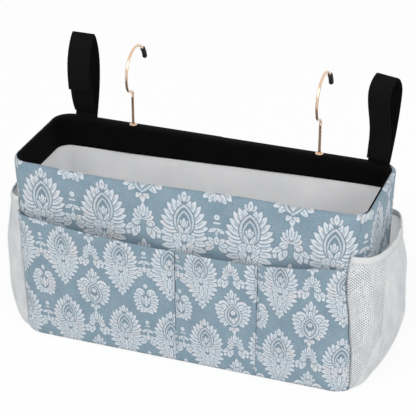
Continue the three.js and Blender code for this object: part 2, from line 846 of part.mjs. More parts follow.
// The eyelet's profile: a barrel through the facing with a flange above it and a flare below
function eyelet() {
  const inner = wireRadius + wireClearance;
  const flangeTop = bodyHeight + fitGap + eyeletThickness;
  const flareBottom = flangeBottom - fitGap - eyeletThickness;
  const profile = [
    [inner, flareBottom],
    [eyeletBarrelRadius + eyeletThickness, flareBottom],
    [eyeletBarrelRadius + eyeletThickness, flangeBottom - fitGap],
    [eyeletBarrelRadius, flangeBottom - fitGap],
    [eyeletBarrelRadius, bodyHeight + fitGap],
    [eyeletFlangeRadius, bodyHeight + fitGap],
    [eyeletFlangeRadius, flangeTop - eyeletThickness / 2],
    [eyeletFlangeRadius - eyeletThickness, flangeTop],
    [inner, flangeTop],
    [inner, flareBottom],
  ];
  const points = profile.map(([r, z]) => new THREE.Vector2(r, z));
  return new THREE.LatheGeometry(points, roundSides).rotateX(quarterTurn);
}

const bracketY = sleeveRadius - bracketThickness / 2;
const rivetX = (bracketWidth + 2 * sleeveRadius) / 4;
const rivetZ = sleeveBottom + sleeveHeight / 2;

function bracket() {
  const plate = new THREE.BoxGeometry(bracketWidth, bracketThickness, sleeveHeight).translate(0, -bracketY, rivetZ);
  const sleeve = roundBar(sleeveRadius, sleeveHeight).rotateX(quarterTurn).translate(0, 0, rivetZ);
  const bore = roundBar(wireRadius + wireClearance, sleeveHeight + 2 * overrun)
    .rotateX(quarterTurn)
    .translate(0, 0, rivetZ);
  const holes = [-1, 1].map((side) =>
    roundBar(rivetRadius + fitGap, bracketThickness + 2 * overrun).translate(side * rivetX, -bracketY, rivetZ),
  );
  return cut(joined(plate, sleeve), bore, ...holes);
}

// A rivet through the bracket and the stiffener, its head on the bracket
const rivetHeadY = -sleeveRadius + bracketThickness + fitGap;
const rivetTailY = -sleeveRadius - fitGap - stiffenerThickness;

function rivet() {
  const profile = [
    [0, rivetTailY],
    [rivetRadius, rivetTailY],
    [rivetRadius, rivetHeadY],
    [rivetHeadRadius, rivetHeadY],
    [rivetHeadRadius, rivetHeadY + rivetHeadHeight / 2],
    [rivetRadius, rivetHeadY + rivetHeadHeight],
    [0, rivetHeadY + rivetHeadHeight],
  ];
  return new THREE.LatheGeometry(profile.map(([r, y]) => new THREE.Vector2(r, y)), roundSides);
}

function rivetHoles() {
  const boardY = bodyDepth / 2 - stiffenerLayer.back - stiffenerThickness / 2;
  return sides.flatMap(({ hookX }) =>
    [-1, 1].map((side) =>
      roundBar(rivetRadius + fitGap, stiffenerThickness + 2 * overrun).translate(hookX + side * rivetX, boardY, rivetZ),
    ),
  );
}

function addHooks() {
  for (const { label, hookX } of sides) {
    const hook = new THREE.Group();
    hook.position.set(hookX, hookY, 0);
    caddy.add(hook);
    place(hook, `${label}_hook_wire`, hookWire(), roseGoldWire);
    place(hook, `${label}_hook_tip`, hookTip(), blackRubber);
    place(hook, `${label}_hook_eyelet`, eyelet(), roseGoldWire);
    place(hook, `${label}_hook_bracket`, bracket(), plainSteel);
    place(hook, `${label}_hook_rivet_1`, rivet(), plainSteel, -rivetX, 0, rivetZ);
    place(hook, `${label}_hook_rivet_2`, rivet(), plainSteel, rivetX, 0, rivetZ);
  }
}

addShell();
addStiffeners();
addLining();
addFacing();
addBaseBoard();
addFrontPockets();
addMeshPockets();
addStraps();
addHooks();

export default caddy;
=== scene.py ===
"""Looks of the bedside caddy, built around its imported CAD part.

Metres. X runs along the caddy, Y to its back, Z up, and the origin is the centre of the base.
A station s is a distance along the foot of the wall from the middle of the front, to the right.
Meshes are made from rows of (point, mark) pairs. A mark is the point's place on the flat cloth.
"""

import math
from collections import namedtuple
from types import SimpleNamespace

import bmesh
import bpy
from mathutils import Matrix, Vector, noise


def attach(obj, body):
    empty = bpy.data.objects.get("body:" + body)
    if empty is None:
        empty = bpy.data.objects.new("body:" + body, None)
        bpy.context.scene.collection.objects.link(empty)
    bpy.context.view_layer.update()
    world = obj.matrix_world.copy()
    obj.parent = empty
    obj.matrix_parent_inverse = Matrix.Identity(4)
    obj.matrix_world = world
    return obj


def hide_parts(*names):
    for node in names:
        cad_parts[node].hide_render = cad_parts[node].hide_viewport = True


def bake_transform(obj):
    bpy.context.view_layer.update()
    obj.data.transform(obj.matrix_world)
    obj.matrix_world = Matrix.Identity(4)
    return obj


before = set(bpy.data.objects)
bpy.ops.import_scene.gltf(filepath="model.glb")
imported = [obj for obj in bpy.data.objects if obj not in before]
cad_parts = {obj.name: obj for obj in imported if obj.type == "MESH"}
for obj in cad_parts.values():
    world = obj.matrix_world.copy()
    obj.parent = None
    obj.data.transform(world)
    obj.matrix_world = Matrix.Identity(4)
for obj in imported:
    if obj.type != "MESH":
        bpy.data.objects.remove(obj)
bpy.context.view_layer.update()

# Body
MM = 0.001
BODY_LENGTH = 0.368
BODY_DEPTH = 0.130
BODY_HEIGHT = 0.200
RIM_FLARE = 0.005
FRONT_LEAN = 0.002
FRONT_CORNER = 0.026
BACK_CORNER = 0.020
HEM_RADIUS = 0.006
HEM_TURN = math.radians(45)

# Layers of the wall, from the outside in, and the room in the back wall for the straps and hooks
CLOTH = 0.0014
BOARD = 0.002
BOARD_MARGIN = 0.003
LINING = 0.001
FACING = 0.001
FIT_GAP = 0.0003
BACK_ROOM = 0.0061
BOARD_INSET = CLOTH + FIT_GAP
LINING_INSET = BOARD_INSET + BOARD + FIT_GAP
FACING_INSET = LINING_INSET + LINING + FIT_GAP

# How far each layer's outer face lies inside the cloth's: at the front and sides, and at the back
CLOTH_LAYER = (0.0, 0.0)
BOARD_LAYER = (BOARD_INSET, BOARD_INSET + BACK_ROOM)
LINING_LAYER = (LINING_INSET, LINING_INSET + BACK_ROOM)
FACING_LAYER = (FACING_INSET, FACING_INSET + BACK_ROOM)

# Runs along the wall's foot
QUARTER = math.pi / 2
FRONT_STRAIGHT = BODY_LENGTH / 2 - FRONT_CORNER
FRONT_ARC = FRONT_CORNER * QUARTER
END_STRAIGHT = BODY_DEPTH - FRONT_CORNER - BACK_CORNER
BACK_ARC = BACK_CORNER * QUARTER
BACK_STRAIGHT = BODY_LENGTH / 2 - BACK_CORNER
END_START = FRONT_STRAIGHT + FRONT_ARC
BACK_ARC_START = END_START + END_STRAIGHT
BACK_START = BACK_ARC_START + BACK_ARC
HALF_ROUND = BACK_START + BACK_STRAIGHT
FRONT_SEAM = FRONT_STRAIGHT + FRONT_ARC / 2
BACK_SEAM = BACK_ARC_START + BACK_ARC / 2
END_WIDTH = BACK_SEAM - FRONT_SEAM

# The front wall is a little wavy at its rim
WAVE_MEAN = 0.0016
WAVE_HEIGHT = 0.0033
WAVE_START = 0.005
WAVE_LENGTH = 0.047
WAVE_POWER = 3
CORNER_EASE = 0.006
CORNER_EASE_RUN = (0.112, 0.162)

# The cloth is a little uneven away from its foot and rim
SAG = 0.0008
LINING_SAG = 0.0012
FACING_SAG = 0.0006
SAG_SIZE = 0.045
SAG_FOOT = 0.030
SAG_RIM = 0.012

# The right front seam wanders back round the corner as it rises
SEAM_LEAN = 0.0045
SEAM_LEAN_RUN = (0.030, 0.080)
SEAM_BOW = 0.0065
SEAM_BOW_HEIGHT = 0.132
SEAM_BOW_SPREAD = 0.035
SEAM_END_RUN = (0.165, 0.185)

# The outer cloth's run over the rim: height along the cloth, rise, and share of the way in
ROLL_START = 0.0012
RIM_ROLL = [(0.0010, -0.0006, 0.06), (0.0020, 0.0, 0.25), (0.0034, 0.0002, 0.55), (0.0048, 0.0001, 0.82)]
RIM_ROLL += [(0.0060, -0.0005, 0.97), (0.0072, -0.0016, 1.0), (0.0084, -0.0028, 1.0)]
FRONT_REACH = 0.0068
LEFT_REACH = 0.0016
RIGHT_REACH = 0.0044

# Lining: height along the cloth, height, and distance out, where it turns up from the floor
LINING_FOOT = [(CLOTH + FIT_GAP, CLOTH + FIT_GAP, -0.004)]
LINING_FOOT += [(0.003, 0.0025, -0.0012), (0.0045, 0.0042, -0.0003)]
LINING_STRAIGHT = 0.007
LINING_TOP_GAP = 0.002
BOTTOM_SHARES = (0.0, 0.02, 0.3, 0.6, 0.85, 1.0)

# Facing: its run over the rim is height along the cloth, rise, and share of the way out
FACING_HEIGHT = 0.032
FACING_LOW_HEIGHT = 0.023
FACING_REACH = 0.0040
FACING_FRONT_DROP = 0.0024
FACING_DROP = 0.0004
FACING_TURN = 0.003
FACING_SHOWN_SHARE = 0.8
FACING_ROLL = [(0.0014, -0.0012, 0.0), (0.0024, -0.0002, 0.12), (0.0035, 0.0, 0.45), (0.0050, 0.0002, 1.0)]

# Front pockets
POCKET_CLOTH = 0.001
POCKET_HEIGHT = 0.131
POCKET_END_HEIGHT = 0.143
POCKET_MOUTH_RISE = 0.004
POCKET_FOOT = 0.001
TABLET_END = -0.006
PHONE_END = 0.080
POCKET_CROWN_SHARE = 0.55
POCKET_RISE_SHARE = 0.75
POCKET_HEM = 0.011
HEM_STEP = 0.0005
HEM_EDGE = 0.001
STITCH_DENT = 0.0006
STITCH_DENT_WIDTH = 0.0012
PUCKER = 0.0005
PUCKER_WIDTH = 0.007
POCKET_FOLD = 0.0011
POCKET_FOLD_SIZE = 0.030
POCKET_FOLD_START_SHARE = 0.2

# A pocket's mouth turned in: height along the cloth, distance in, and rise
POCKET_ROLL = [(0.0005, 0.0003, 0.0003), (0.0012, 0.0010, 0.0005), (0.0020, 0.0017, -0.0002)]

# Each pocket between two stations, with its height at both ends. The ring is the place of one ring
# motif of its print, in millimetres, and the turn is how far that print is off the upright.
POCKETS = [
    SimpleNamespace(
        label="tablet",
        start=-FRONT_SEAM,
        end=TABLET_END - FIT_GAP / 2,
        heights=(POCKET_END_HEIGHT, POCKET_HEIGHT),
        bulge=0.012,
        puckers=21.0,
        seed=11.0,
        ring=(-92.2, 71),
        turn=0.0,
    ),
    SimpleNamespace(
        label="phone",
        start=TABLET_END + FIT_GAP / 2,
        end=PHONE_END - FIT_GAP / 2,
        heights=(POCKET_HEIGHT, POCKET_HEIGHT),
        bulge=0.009,
        puckers=25.0,
        seed=17.0,
        ring=(57, 74),
        turn=3.5,
    ),
    SimpleNamespace(
        label="pen",
        start=PHONE_END + FIT_GAP / 2,
        end=FRONT_SEAM,
        heights=(POCKET_HEIGHT, POCKET_END_HEIGHT),
        bulge=0.008,
        puckers=23.0,
        seed=23.0,
        ring=(136.5, 77),
        turn=0.0,
    ),
]

# Net pockets. Their upright folds fade at the foot and the mouth.
NET_FRONT_HEIGHT = 0.158
NET_BACK_HEIGHT = 0.150
NET_CROWN_SHARE = 0.65
NET_CLOTH = 0.0006
NET_THREAD = 0.0003
NET_STRETCH = 1.25
NET_WAVE = 0.0023
NET_RIPPLE = 0.0034
NET_RIPPLE_SIZE = 0.035
NET_FOLD_RUN = (0.010, 0.070)
NET_CALM_RUN = (0.090, 0.158)
NET_CALM_SHARE = 0.85

# The tuck at a net's foot. Its lean is in shares of the net's width for each metre of height.
TUCK_SHARE = 0.21
TUCK_WIDTH_SHARE = 0.03
TUCK_LEAN = 3.4
TUCK_HEIGHT = 0.040
TUCK_START = 0.004
TUCK_DEPTH = 0.0065

# The binding is folded over the net's edge: height and distance out round its section
BINDING_HEIGHT = 0.007
BINDING_LAP = 0.002
BINDING_PUCKER = 0.00025
BINDING_PUCKER_WAVE = 0.0016
BINDING_STEP = 0.0015
BINDING_SECTION = [(0.0, 0.0002), (0.0006, 0.0008), (0.0025, 0.0011), (0.0048, 0.0011), (0.0064, 0.0008)]
BINDING_SECTION += [(0.0070, 0.0002), (0.0070, -0.0005), (0.0062, -0.0009), (0.0035, -0.0010)]
BINDING_SECTION += [(0.0008, -0.0009), (0.0, -0.0004)]

# Straps
WEBBING_WIDTH = 0.0254
WEBBING = 0.0016
TAPE = 0.001
TAPE_MARGIN = 0.0022
STRAP_TURN_SHARE = 0.45
LOOP_CROWN_SHARE = 0.8
LOOP_BACK_BULGE = 0.011
LOOP_SPLIT_SHARE = 0.35
LOOP_CLEARANCE = 0.050
LOOP_OPEN_SHARES = (0.45, 0.6)
TOP_FOLD = 0.003
FOOT_BEND = (-0.0014, 0.010)
EDGE_SWAY_SHARE = 0.004
EDGE_SWAY_WAVE = 0.0009
TAB_HEIGHT = 0.070

# The closure between a strap's flap and its short strap
CLOSURE_HEIGHT = 0.021
CLOSURE_EASE = 0.0015
CLOSURE_RISE_SHARES = (0.05, 0.22)
SHORT_STRAP_START = 0.003
SHORT_STRAP_OVERLAP = 0.002
HOOK_TAPE_INSET = WEBBING / 2 + FIT_GAP + TAPE / 2
LOOP_TAPE_INSET = HOOK_TAPE_INSET + TAPE + FIT_GAP
SHORT_STRAP_INSET = LOOP_TAPE_INSET + TAPE / 2 + FIT_GAP + WEBBING / 2
STRAPS_DEPTH = 2 * (WEBBING + FIT_GAP)
CLOSURE_DEPTH = SHORT_STRAP_INSET + WEBBING + FIT_GAP

# Hooks
WIRE = 0.0015
HOOK_Y = 0.0602
HEAD_BOTTOM = 0.1697
HEAD_RADIUS = 0.0027
HEAD_EDGE = 0.0003
HEAD_HEIGHT = 0.002
NECK_HEIGHT = 0.038
NECK_BEND = 0.008
CROOK = 0.0264
CROOK_OFFSET = 0.0104
CROOK_CENTRE = 0.0587
CROOK_START = math.radians(213)
CROOK_END = math.radians(16.6)

# The cap on each hook's end. Its lip is a turn along the crook and a step of its radius.
TIP_LENGTH = 0.0118
TIP_DEPTH = 0.0108
TIP_RADIUS = 0.0027
TIP_EDGE = 0.0001
TIP_LIP = [(0.004, -0.0006), (-0.008, 0.0001), (-0.030, -0.0001)]
TIP_LIP_TURN = 0.06

# What differs between the two ends of the caddy
SIDES = [
    SimpleNamespace(
        label="left",
        sign=-1,
        seed=4.1,
        strap_x=0.028 - BODY_LENGTH / 2,
        lean=0.0,
        rise=0.097,
        waist=0.6,
        bulge=0.017,
        front_power=0.5,
        closure=0.037,
        flap_end=0.037,
        hook_x=-0.101,
        net_bulge=0.030,
        net_foot=0.050,
        net_foot_share=0.3,
        net_rim_share=0.37,
    ),
    SimpleNamespace(
        label="right",
        sign=1,
        seed=1.7,
        strap_x=BODY_LENGTH / 2 - 0.016,
        lean=math.radians(5),
        rise=0.095,
        waist=0.82,
        bulge=0.0135,
        front_power=4.0,
        closure=0.020,
        flap_end=0.0045,
        hook_x=0.105,
        net_bulge=0.028,
        net_foot=0.076,
        net_foot_share=0.5,
        net_rim_share=0.58,
    ),
]

# Stitches: a ring is a share of the way along the stitch and a share of the thread's radius
STITCH = 0.0026
STITCH_PITCH = 0.0038
THREAD = 0.00032
STITCH_SIDES = 6
STITCH_RING_SHARES = [(-1.0, 0.35), (-0.8, 0.8), (-0.3, 1.0), (0.3, 1.0), (0.8, 0.8), (1.0, 0.35)]
RIM_STITCH_DEPTH = 0.005
HEM_STITCH_SINK = 0.0004
SIDE_STITCH_INSET = 0.0022
SEAM_STITCH_INSET = 0.0007
BINDING_STITCH_HEIGHT = 0.0014
BINDING_STITCH_OUT = 0.0011
TAB_STITCH_MARGIN = 0.003
TAB_STITCH_TOP = 0.012
TAB_STITCH_HEIGHT = 0.040
TAB_CORNER_GAP = 0.002

# Camera, floor and light
YAW = math.radians(19.8)
PITCH = math.radians(28.3)
CAMERA_DISTANCE = 1.672
CAMERA_RIGHT = 0.0049
CAMERA_UP = 0.0423
LOOK_HEIGHT = 0.100
SENSOR = 36.0
LENS = 138.46
FLOOR_HALF = 6.0
FLOOR_GAP = 0.0004
FLOOR_GLOW_SHARE = 0.9
WORLD_STRENGTH = 0.66
LIGHTS = {"key": ((-0.9, -1.9, 2.1), 24), "fill": ((1.8, -1.2, 1.5), 20)}
LIGHT_SIZE = 1.6

Row = namedtuple("Row", "along z out turned", defaults=(0.0, 0.0))


def lerp(a, b, share):
    return a + (b - a) * share


def clamp(value, low=0.0, high=1.0):
    return max(low, min(high, value))


def smooth(value, start, end):
    share = clamp((value - start) / (end - start))
    return share * share * (3 - 2 * share)


def bell(value, middle, width):
    return math.exp(-(((value - middle) / width) ** 2))


def crown(share, power):
    """Nothing at both ends and full in the middle; a small power makes it blunt."""
    return math.sin(math.pi * clamp(share)) ** power


def shares(count):
    return [step / count for step in range(count + 1)]


def spread(start, end, count):
    return [lerp(start, end, share) for share in shares(count)]


# The wall
def hem_inset(z):
    below = clamp(HEM_RADIUS * math.sin(HEM_TURN) - z, 0, HEM_RADIUS)
    return HEM_RADIUS - math.sqrt(HEM_RADIUS**2 - below**2)


def rim_wave(x, z):
    """How far the front wall leans in at a place along it."""
    wave = WAVE_MEAN + WAVE_HEIGHT * math.sin((x + WAVE_START) / WAVE_LENGTH)
    fade = 1 - smooth(abs(x), FRONT_STRAIGHT, FRONT_STRAIGHT + FRONT_CORNER)
    ease = CORNER_EASE * smooth(x, *CORNER_EASE_RUN)
    return (wave * fade + ease) * clamp(z / BODY_HEIGHT) ** WAVE_POWER


def plan(s, z, layer):
    """The centre, radius and turn of the wall at a station."""
    at = abs(s)
    rise = z / BODY_HEIGHT
    half_length = BODY_LENGTH / 2 + RIM_FLARE * rise - layer[0]
    front_radius = FRONT_CORNER - layer[0]
    back_radius = BACK_CORNER - layer[0]
    front = Vector((half_length - front_radius, front_radius + layer[0] - BODY_DEPTH / 2 - FRONT_LEAN * rise))
    back = Vector((half_length - back_radius, BODY_DEPTH / 2 - layer[1] - back_radius))
    if at < FRONT_STRAIGHT:
        return Vector((front.x * at / FRONT_STRAIGHT, front.y)), front_radius, 0.0
    if at < END_START:
        return front, front_radius, (at - FRONT_STRAIGHT) / FRONT_CORNER
    if at < BACK_ARC_START:
        share = (at - END_START) / END_STRAIGHT
        return front.lerp(back, share), lerp(front_radius, back_radius, share), QUARTER
    if at < BACK_START:
        return back, back_radius, QUARTER + (at - BACK_ARC_START) / BACK_CORNER
    share = (at - BACK_START) / BACK_STRAIGHT
    return Vector((back.x * (1 - share), back.y)), back_radius, math.pi


def wrapped(s):
    """A station past the middle of the back, counted from the left instead."""
    return s - 2 * HALF_ROUND if s > HALF_ROUND else s


def wall(s, z, out=0.0, layer=CLOTH_LAYER):
    """A point of the wall at a station and a height, at a distance outside a layer's face."""
    s = wrapped(s)
    centre, radius, turn = plan(s, z, layer)
    reach = radius + out - hem_inset(z)
    x = math.copysign(centre.x + math.sin(turn) * reach, s)
    y = centre.y - math.cos(turn) * reach
    y += rim_wave(x, z) * max(0, math.cos(turn))
    return Vector((x, y, z))


def ripple(s, z, size, seed):
    """A soft unevenness of cloth, from -1 to 1."""
    return noise.noise(Vector((s / size, z / size, seed)))


# Meshes
def new_piece(name, mesh, material, body, slot, *replaced):
    piece = bpy.data.objects.new(name, mesh)
    bpy.context.scene.collection.objects.link(piece)
    mesh.materials.append(material)
    for face in mesh.polygons:
        face.use_smooth = True
    if body:
        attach(piece, body)
    if replaced:
        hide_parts(*replaced)
    return piece


def grid_mesh(name, rows, closed=False):
    """A mesh of quads through rows of pairs, with its UV map in millimetres along the cloth.

    The last pair of a closed row stands on the row's first point.
    """
    mesh = bpy.data.meshes.new(name)
    columns = len(rows[0]) - 1
    width = columns if closed else columns + 1
    points = [tuple(point) for row in rows for point, _ in row[:width]]
    faces = []
    marks = []
    for i, (row, above) in enumerate(zip(rows, rows[1:])):
        low = i * width
        high = low + width
        for j in range(columns):
            k = (j + 1) % width
            faces.append((low + j, low + k, high + k, high + j))
            marks += [row[j][1], row[j + 1][1], above[j + 1][1], above[j][1]]
    mesh.from_pydata(points, [], faces)
    layer = mesh.uv_layers.new(name="cloth")
    for loop, (u, v) in zip(layer.data, marks):
        loop.uv = (u / MM, v / MM)
    mesh.validate()
    return mesh


def thicken(piece, thickness, even=True):
    modifier = piece.modifiers.new("thickness", "SOLIDIFY")
    modifier.thickness = thickness
    modifier.offset = -1
    modifier.use_even_offset = even
    modifier.use_quality_normals = True


def close_ends(mesh):
    """Fills the open ends of a tube and joins its first row to its last."""
    work = bmesh.new()
    work.from_mesh(mesh)
    bmesh.ops.remove_doubles(work, verts=work.verts, dist=MM / 100)
    edges = [edge for edge in work.edges if edge.is_boundary]
    bmesh.ops.holes_fill(work, edges=edges, sides=0)
    bmesh.ops.recalc_face_normals(work, faces=work.faces)
    work.to_mesh(mesh)
    work.free()
    for face in mesh.polygons:
        face.use_smooth = True


def tube_piece(name, rows, material, body, slot, *replaced, closed=True):
    """A piece through rows of pairs, with its ends filled."""
    mesh = grid_mesh(name, rows, closed)
    piece = new_piece(name, mesh, material, body, slot, *replaced)
    close_ends(mesh)
    return piece


# Node trees
class Graph:
    """Adds nodes to one node tree and joins them."""

    def __init__(self, tree):
        self.tree = tree

    def feed(self, socket, value):
        if isinstance(value, bpy.types.NodeSocket):
            self.tree.links.new(value, socket)
        else:
            socket.default_value = value

    def add(self, kind, inputs=None, **settings):
        node = self.tree.nodes.new(kind)
        for name, value in settings.items():
            setattr(node, name, value)
        for name, value in (inputs or {}).items():
            self.feed(node.inputs[name], value)
        return node

    def math(self, operation, *values, clamped=False):
        node = self.add("ShaderNodeMath", dict(enumerate(values)), operation=operation)
        node.use_clamp = clamped
        return node.outputs[0]

    def vector(self, operation, *values):
        node = self.add("ShaderNodeVectorMath", dict(enumerate(values)), operation=operation)
        return node.outputs["Value" if operation in ("LENGTH", "DOT_PRODUCT") else "Vector"]

    def combine(self, x, y):
        return self.add("ShaderNodeCombineXYZ", {"X": x, "Y": y}).outputs[0]

    def separate(self, vector):
        return self.add("ShaderNodeSeparateXYZ", {"Vector": vector}).outputs

    def mapping(self, vector, location=(0, 0, 0), turn=0.0, scale=(1, 1, 1), kind="POINT"):
        values = {"Vector": vector, "Location": location, "Rotation": (0, 0, turn), "Scale": scale}
        return self.add("ShaderNodeMapping", values, vector_type=kind).outputs[0]

    def noise(self, vector, scale, detail=3.0, roughness=0.55):
        values = {"Vector": vector, "Scale": scale, "Detail": detail, "Roughness": roughness}
        return self.add("ShaderNodeTexNoise", values).outputs["Fac"]

    def span(self, value, low, high, to_low=0.0, to_high=1.0):
        values = {"Value": value, "From Min": low, "From Max": high, "To Min": to_low, "To Max": to_high}
        return self.add("ShaderNodeMapRange", values).outputs[0]

    def mix(self, factor, a, b, blend="MIX"):
        node = self.add("ShaderNodeMix", {0: factor, 6: a, 7: b}, data_type="RGBA", blend_type=blend)
        return node.outputs[2]

    def bump(self, height, strength, distance, normal=None):
        values = {"Height": height, "Strength": strength, "Distance": distance}
        if normal:
            values["Normal"] = normal
        return self.add("ShaderNodeBump", values).outputs[0]


def srgb(red, green, blue):
    def linear(part):
        share = part / 255
        return share / 12.92 if share <= 0.04045 else ((share + 0.055) / 1.055) ** 2.4

    return (linear(red), linear(green), linear(blue), 1)


# The damask. Lengths here are millimetres of cloth.
PERIOD = 112.8
RISE = 85.0
COLUMN = 31.5
DROP = 40.3
PALMETTE_LOW = -45.0
RING_LOW = -25.0
FILL_LEVEL = 0.97
BARE_LEVEL = 2.0


class Figure(Graph):
    """Shapes laid over one another. A level is 0.5 at a shape's middle and 1 at its edge."""

    def __init__(self, tree):
        super().__init__(tree)
        self.place = None
        self.level = BARE_LEVEL

    def lay(self, shape):
        inside = self.math("LESS_THAN", shape, 1)
        mixed = self.add("ShaderNodeMix", {0: inside, 2: self.level, 3: shape}, data_type="FLOAT")
        self.level = mixed.outputs[0]

    def pointed(self, base, tip, width):
        """The level of one leaf between two points."""
        run = Vector((tip[0] - base[0], tip[1] - base[1]))
        middle = ((base[0] + tip[0]) / 2, (base[1] + tip[1]) / 2, 0)
        beside = Vector((run.y, -run.x)) / (run.length * width)
        along = run * math.sqrt(3) / run.length_squared
        away = self.vector("SUBTRACT", self.place, middle)
        across = self.vector("DOT_PRODUCT", away, (beside.x, beside.y, 0))
        up = self.vector("DOT_PRODUCT", away, (along.x, along.y, 0))
        bent = self.math("ADD", self.math("ABSOLUTE", across), 0.5)
        return self.vector("LENGTH", self.combine(bent, up))

    def oval(self, x, y, width, height):
        away = self.vector("SUBTRACT", self.place, (x, y, 0))
        shrunk = self.vector("MULTIPLY", away, (1 / width, 1 / height, 0))
        return self.math("ADD", self.vector("LENGTH", shrunk), 0.5)

    def band(self, shape, middle, half):
        """A line that follows one level of a shape."""
        away = self.math("ABSOLUTE", self.math("SUBTRACT", shape, middle))
        self.lay(self.math("MULTIPLY_ADD", away, 0.5 / half, 0.5))

    def fill(self, shape):
        """A shape that shows only as the dull tone between the leaves on it."""
        self.lay(self.math("MAXIMUM", shape, FILL_LEVEL))

    def arch(self, x, y, width, height):
        """A rounded arch: an oval with a smaller one low in it."""
        self.lay(self.oval(x, y, width, height))
        self.lay(self.oval(x * 0.96, y - height * 0.12, width * 0.56, height * 0.56))

    def leaves(self, *rows):
        """Leaves, each (base x, base y, tip x, tip y, width)."""
        for x, y, tip_x, tip_y, width in rows:
            self.lay(self.pointed((x, y), (tip_x, tip_y), width))


def draw_palmette(figure):
    """The tall motif: a sprig, two lobes of leaves a side, nested arches, a waist and a feathered tail."""
    figure.fill(figure.oval(0, 12, 27, 32))
    figure.fill(figure.pointed((0, -38), (0, 10), 24))
    figure.leaves((0, -27, 0, -40, 5.4), (0, -27, 4.2, -36, 4.4), (1, -24, 8.4, -31, 5))
    figure.leaves((1.5, -20, 12, -26, 5.6), (2, -16, 15.6, -20.6, 6), (2.5, -12, 19, -14.4, 6.6))
    figure.leaves((2.5, -8, 20.8, -8, 6.6), (2.5, -4.5, 20.4, -1.6, 6.4), (0, -34, 5, -20, 4))
    figure.leaves((0, -29, 7, -14, 4), (0, -22, 8.6, -8, 4.2), (0, -15, 9.6, -2.4, 4.2), (0, -27, 0, -9, 5))
    figure.leaves((4, -1, 17.6, 1.4, 5.4), (5, 1, 19.8, 7, 6.4), (5, 3, 18.8, 12.8, 6.6))
    figure.leaves((4, 6, 16.4, 18.8, 6.4), (3, 9, 13.6, 24.8, 6.6), (2.4, 12, 9.4, 28.6, 6.2))
    figure.leaves((1.4, 17, 5.2, 27.6, 4.4), (0.6, 25, 4.8, 31.6, 4.4), (0, 24.6, 0, 35.2, 5.2))
    for tip, width in ((24, 17.5), (19, 12)):
        arch = figure.pointed((0, -6), (0, tip), width)
        figure.fill(arch)
        figure.band(arch, 0.9, 0.055)
    figure.leaves((0, -2, 5, 6.4, 3), (0, 3, 3.2, 10.4, 3), (0, 4, 0, 12.4, 3.6), (0, -5, 6.4, -1.6, 3))
    figure.leaves((0, -8, 5.6, -4.4, 3.4), (0, -9, 0, -1, 4.6))


def draw_medallion(figure):
    """The ring motif: a pointed ring between petals and two arches, with a sprig above and a pendant."""
    figure.leaves((0, -13, 0, -26.4, 5.8), (0.6, -14, 5.2, -21.8, 4.8), (0.5, 14, 8.4, 21, 4.4))
    figure.leaves((0.4, 18, 5, 25.6, 4.6), (0, 17, 0, 30.6, 5.4))
    figure.fill(figure.oval(0, -2, 33, 30))
    figure.arch(9.4, 9.4, 14.4, 15.4)
    figure.leaves((10, 4, 19, 10.6, 6), (7, 1, 20, 5.2, 6.6), (7, -1, 19.2, -0.8, 6.6))
    figure.leaves((6, -3.6, 17.8, -6.8, 6.6), (5, -6, 15.8, -12, 6.4), (3.6, -8, 11.4, -16.4, 6))
    figure.leaves((0, 9, 4.4, 17.4, 4.6), (0, 9, 0, 18.6, 5))
    ring = figure.pointed((0, -17), (0, 12), 19)
    figure.fill(ring)
    figure.band(ring, 0.91, 0.06)
    figure.band(ring, 0.76, 0.035)
    figure.lay(figure.oval(0, 1, 6, 6.6))
    figure.leaves((0.6, -11, 4.4, -3, 3), (0, -13.6, 0, -5, 4))


def draw_fleur(figure):
    """Between the ring motifs: a three-lobed crown over two mirrored scroll leaves."""
    figure.leaves((4, 45, 13.6, 30, 9.6), (3.4, 43, 8.6, 28.6, 8), (5, 43, 15, 35, 5.4))
    figure.leaves((3.6, 42, 4.4, 32, 4.4))
    figure.arch(5.6, 43, 8.6, 8)
    figure.leaves((1, 45, 9, 50, 4.6), (1, 46, 7.4, 55, 4.8), (1, 48, 4, 58, 4), (0, 47, 0, 61.6, 5.4))
    figure.band(figure.oval(0, 49, 6.6, 6.6), 0.9, 0.13)


def draw_shell(figure):
    """The small motif: petals under two arches, with a cushion, an arc and a dot above."""
    figure.fill(figure.oval(0, -2, 23, 28))
    figure.leaves((0, 13.6, 0, 20.4, 5.4))
    figure.arch(5.8, 9, 12, 12.4)
    figure.leaves((4, 2, 13.4, 7, 5.8), (4, 0, 14.8, 2, 5.8), (4, -2, 14.2, -3.4, 5.8))
    figure.leaves((3.6, -4, 12.6, -8.6, 5.8), (3, -6, 11.4, -14.4, 6), (1.6, -8, 6.8, -17.4, 5.6))
    figure.leaves((0, -9, 2.4, -16.4, 4), (1.4, -7, 4.6, 5, 3.6), (0, -10, 0, 7, 4.6))
    figure.leaves((1, 33, 9, 28, 5), (1, 34, 10, 34, 5), (0, 34, 7, 40, 5), (0, 33, 0, 42, 5))
    figure.leaves((-0.6, 48, 6.8, 43.6, 4), (0, 41, 0, 46, 2.6))
    figure.lay(figure.oval(0, 52, 8, 2))
    figure.lay(figure.oval(0, 56.8, 5.6, 6))


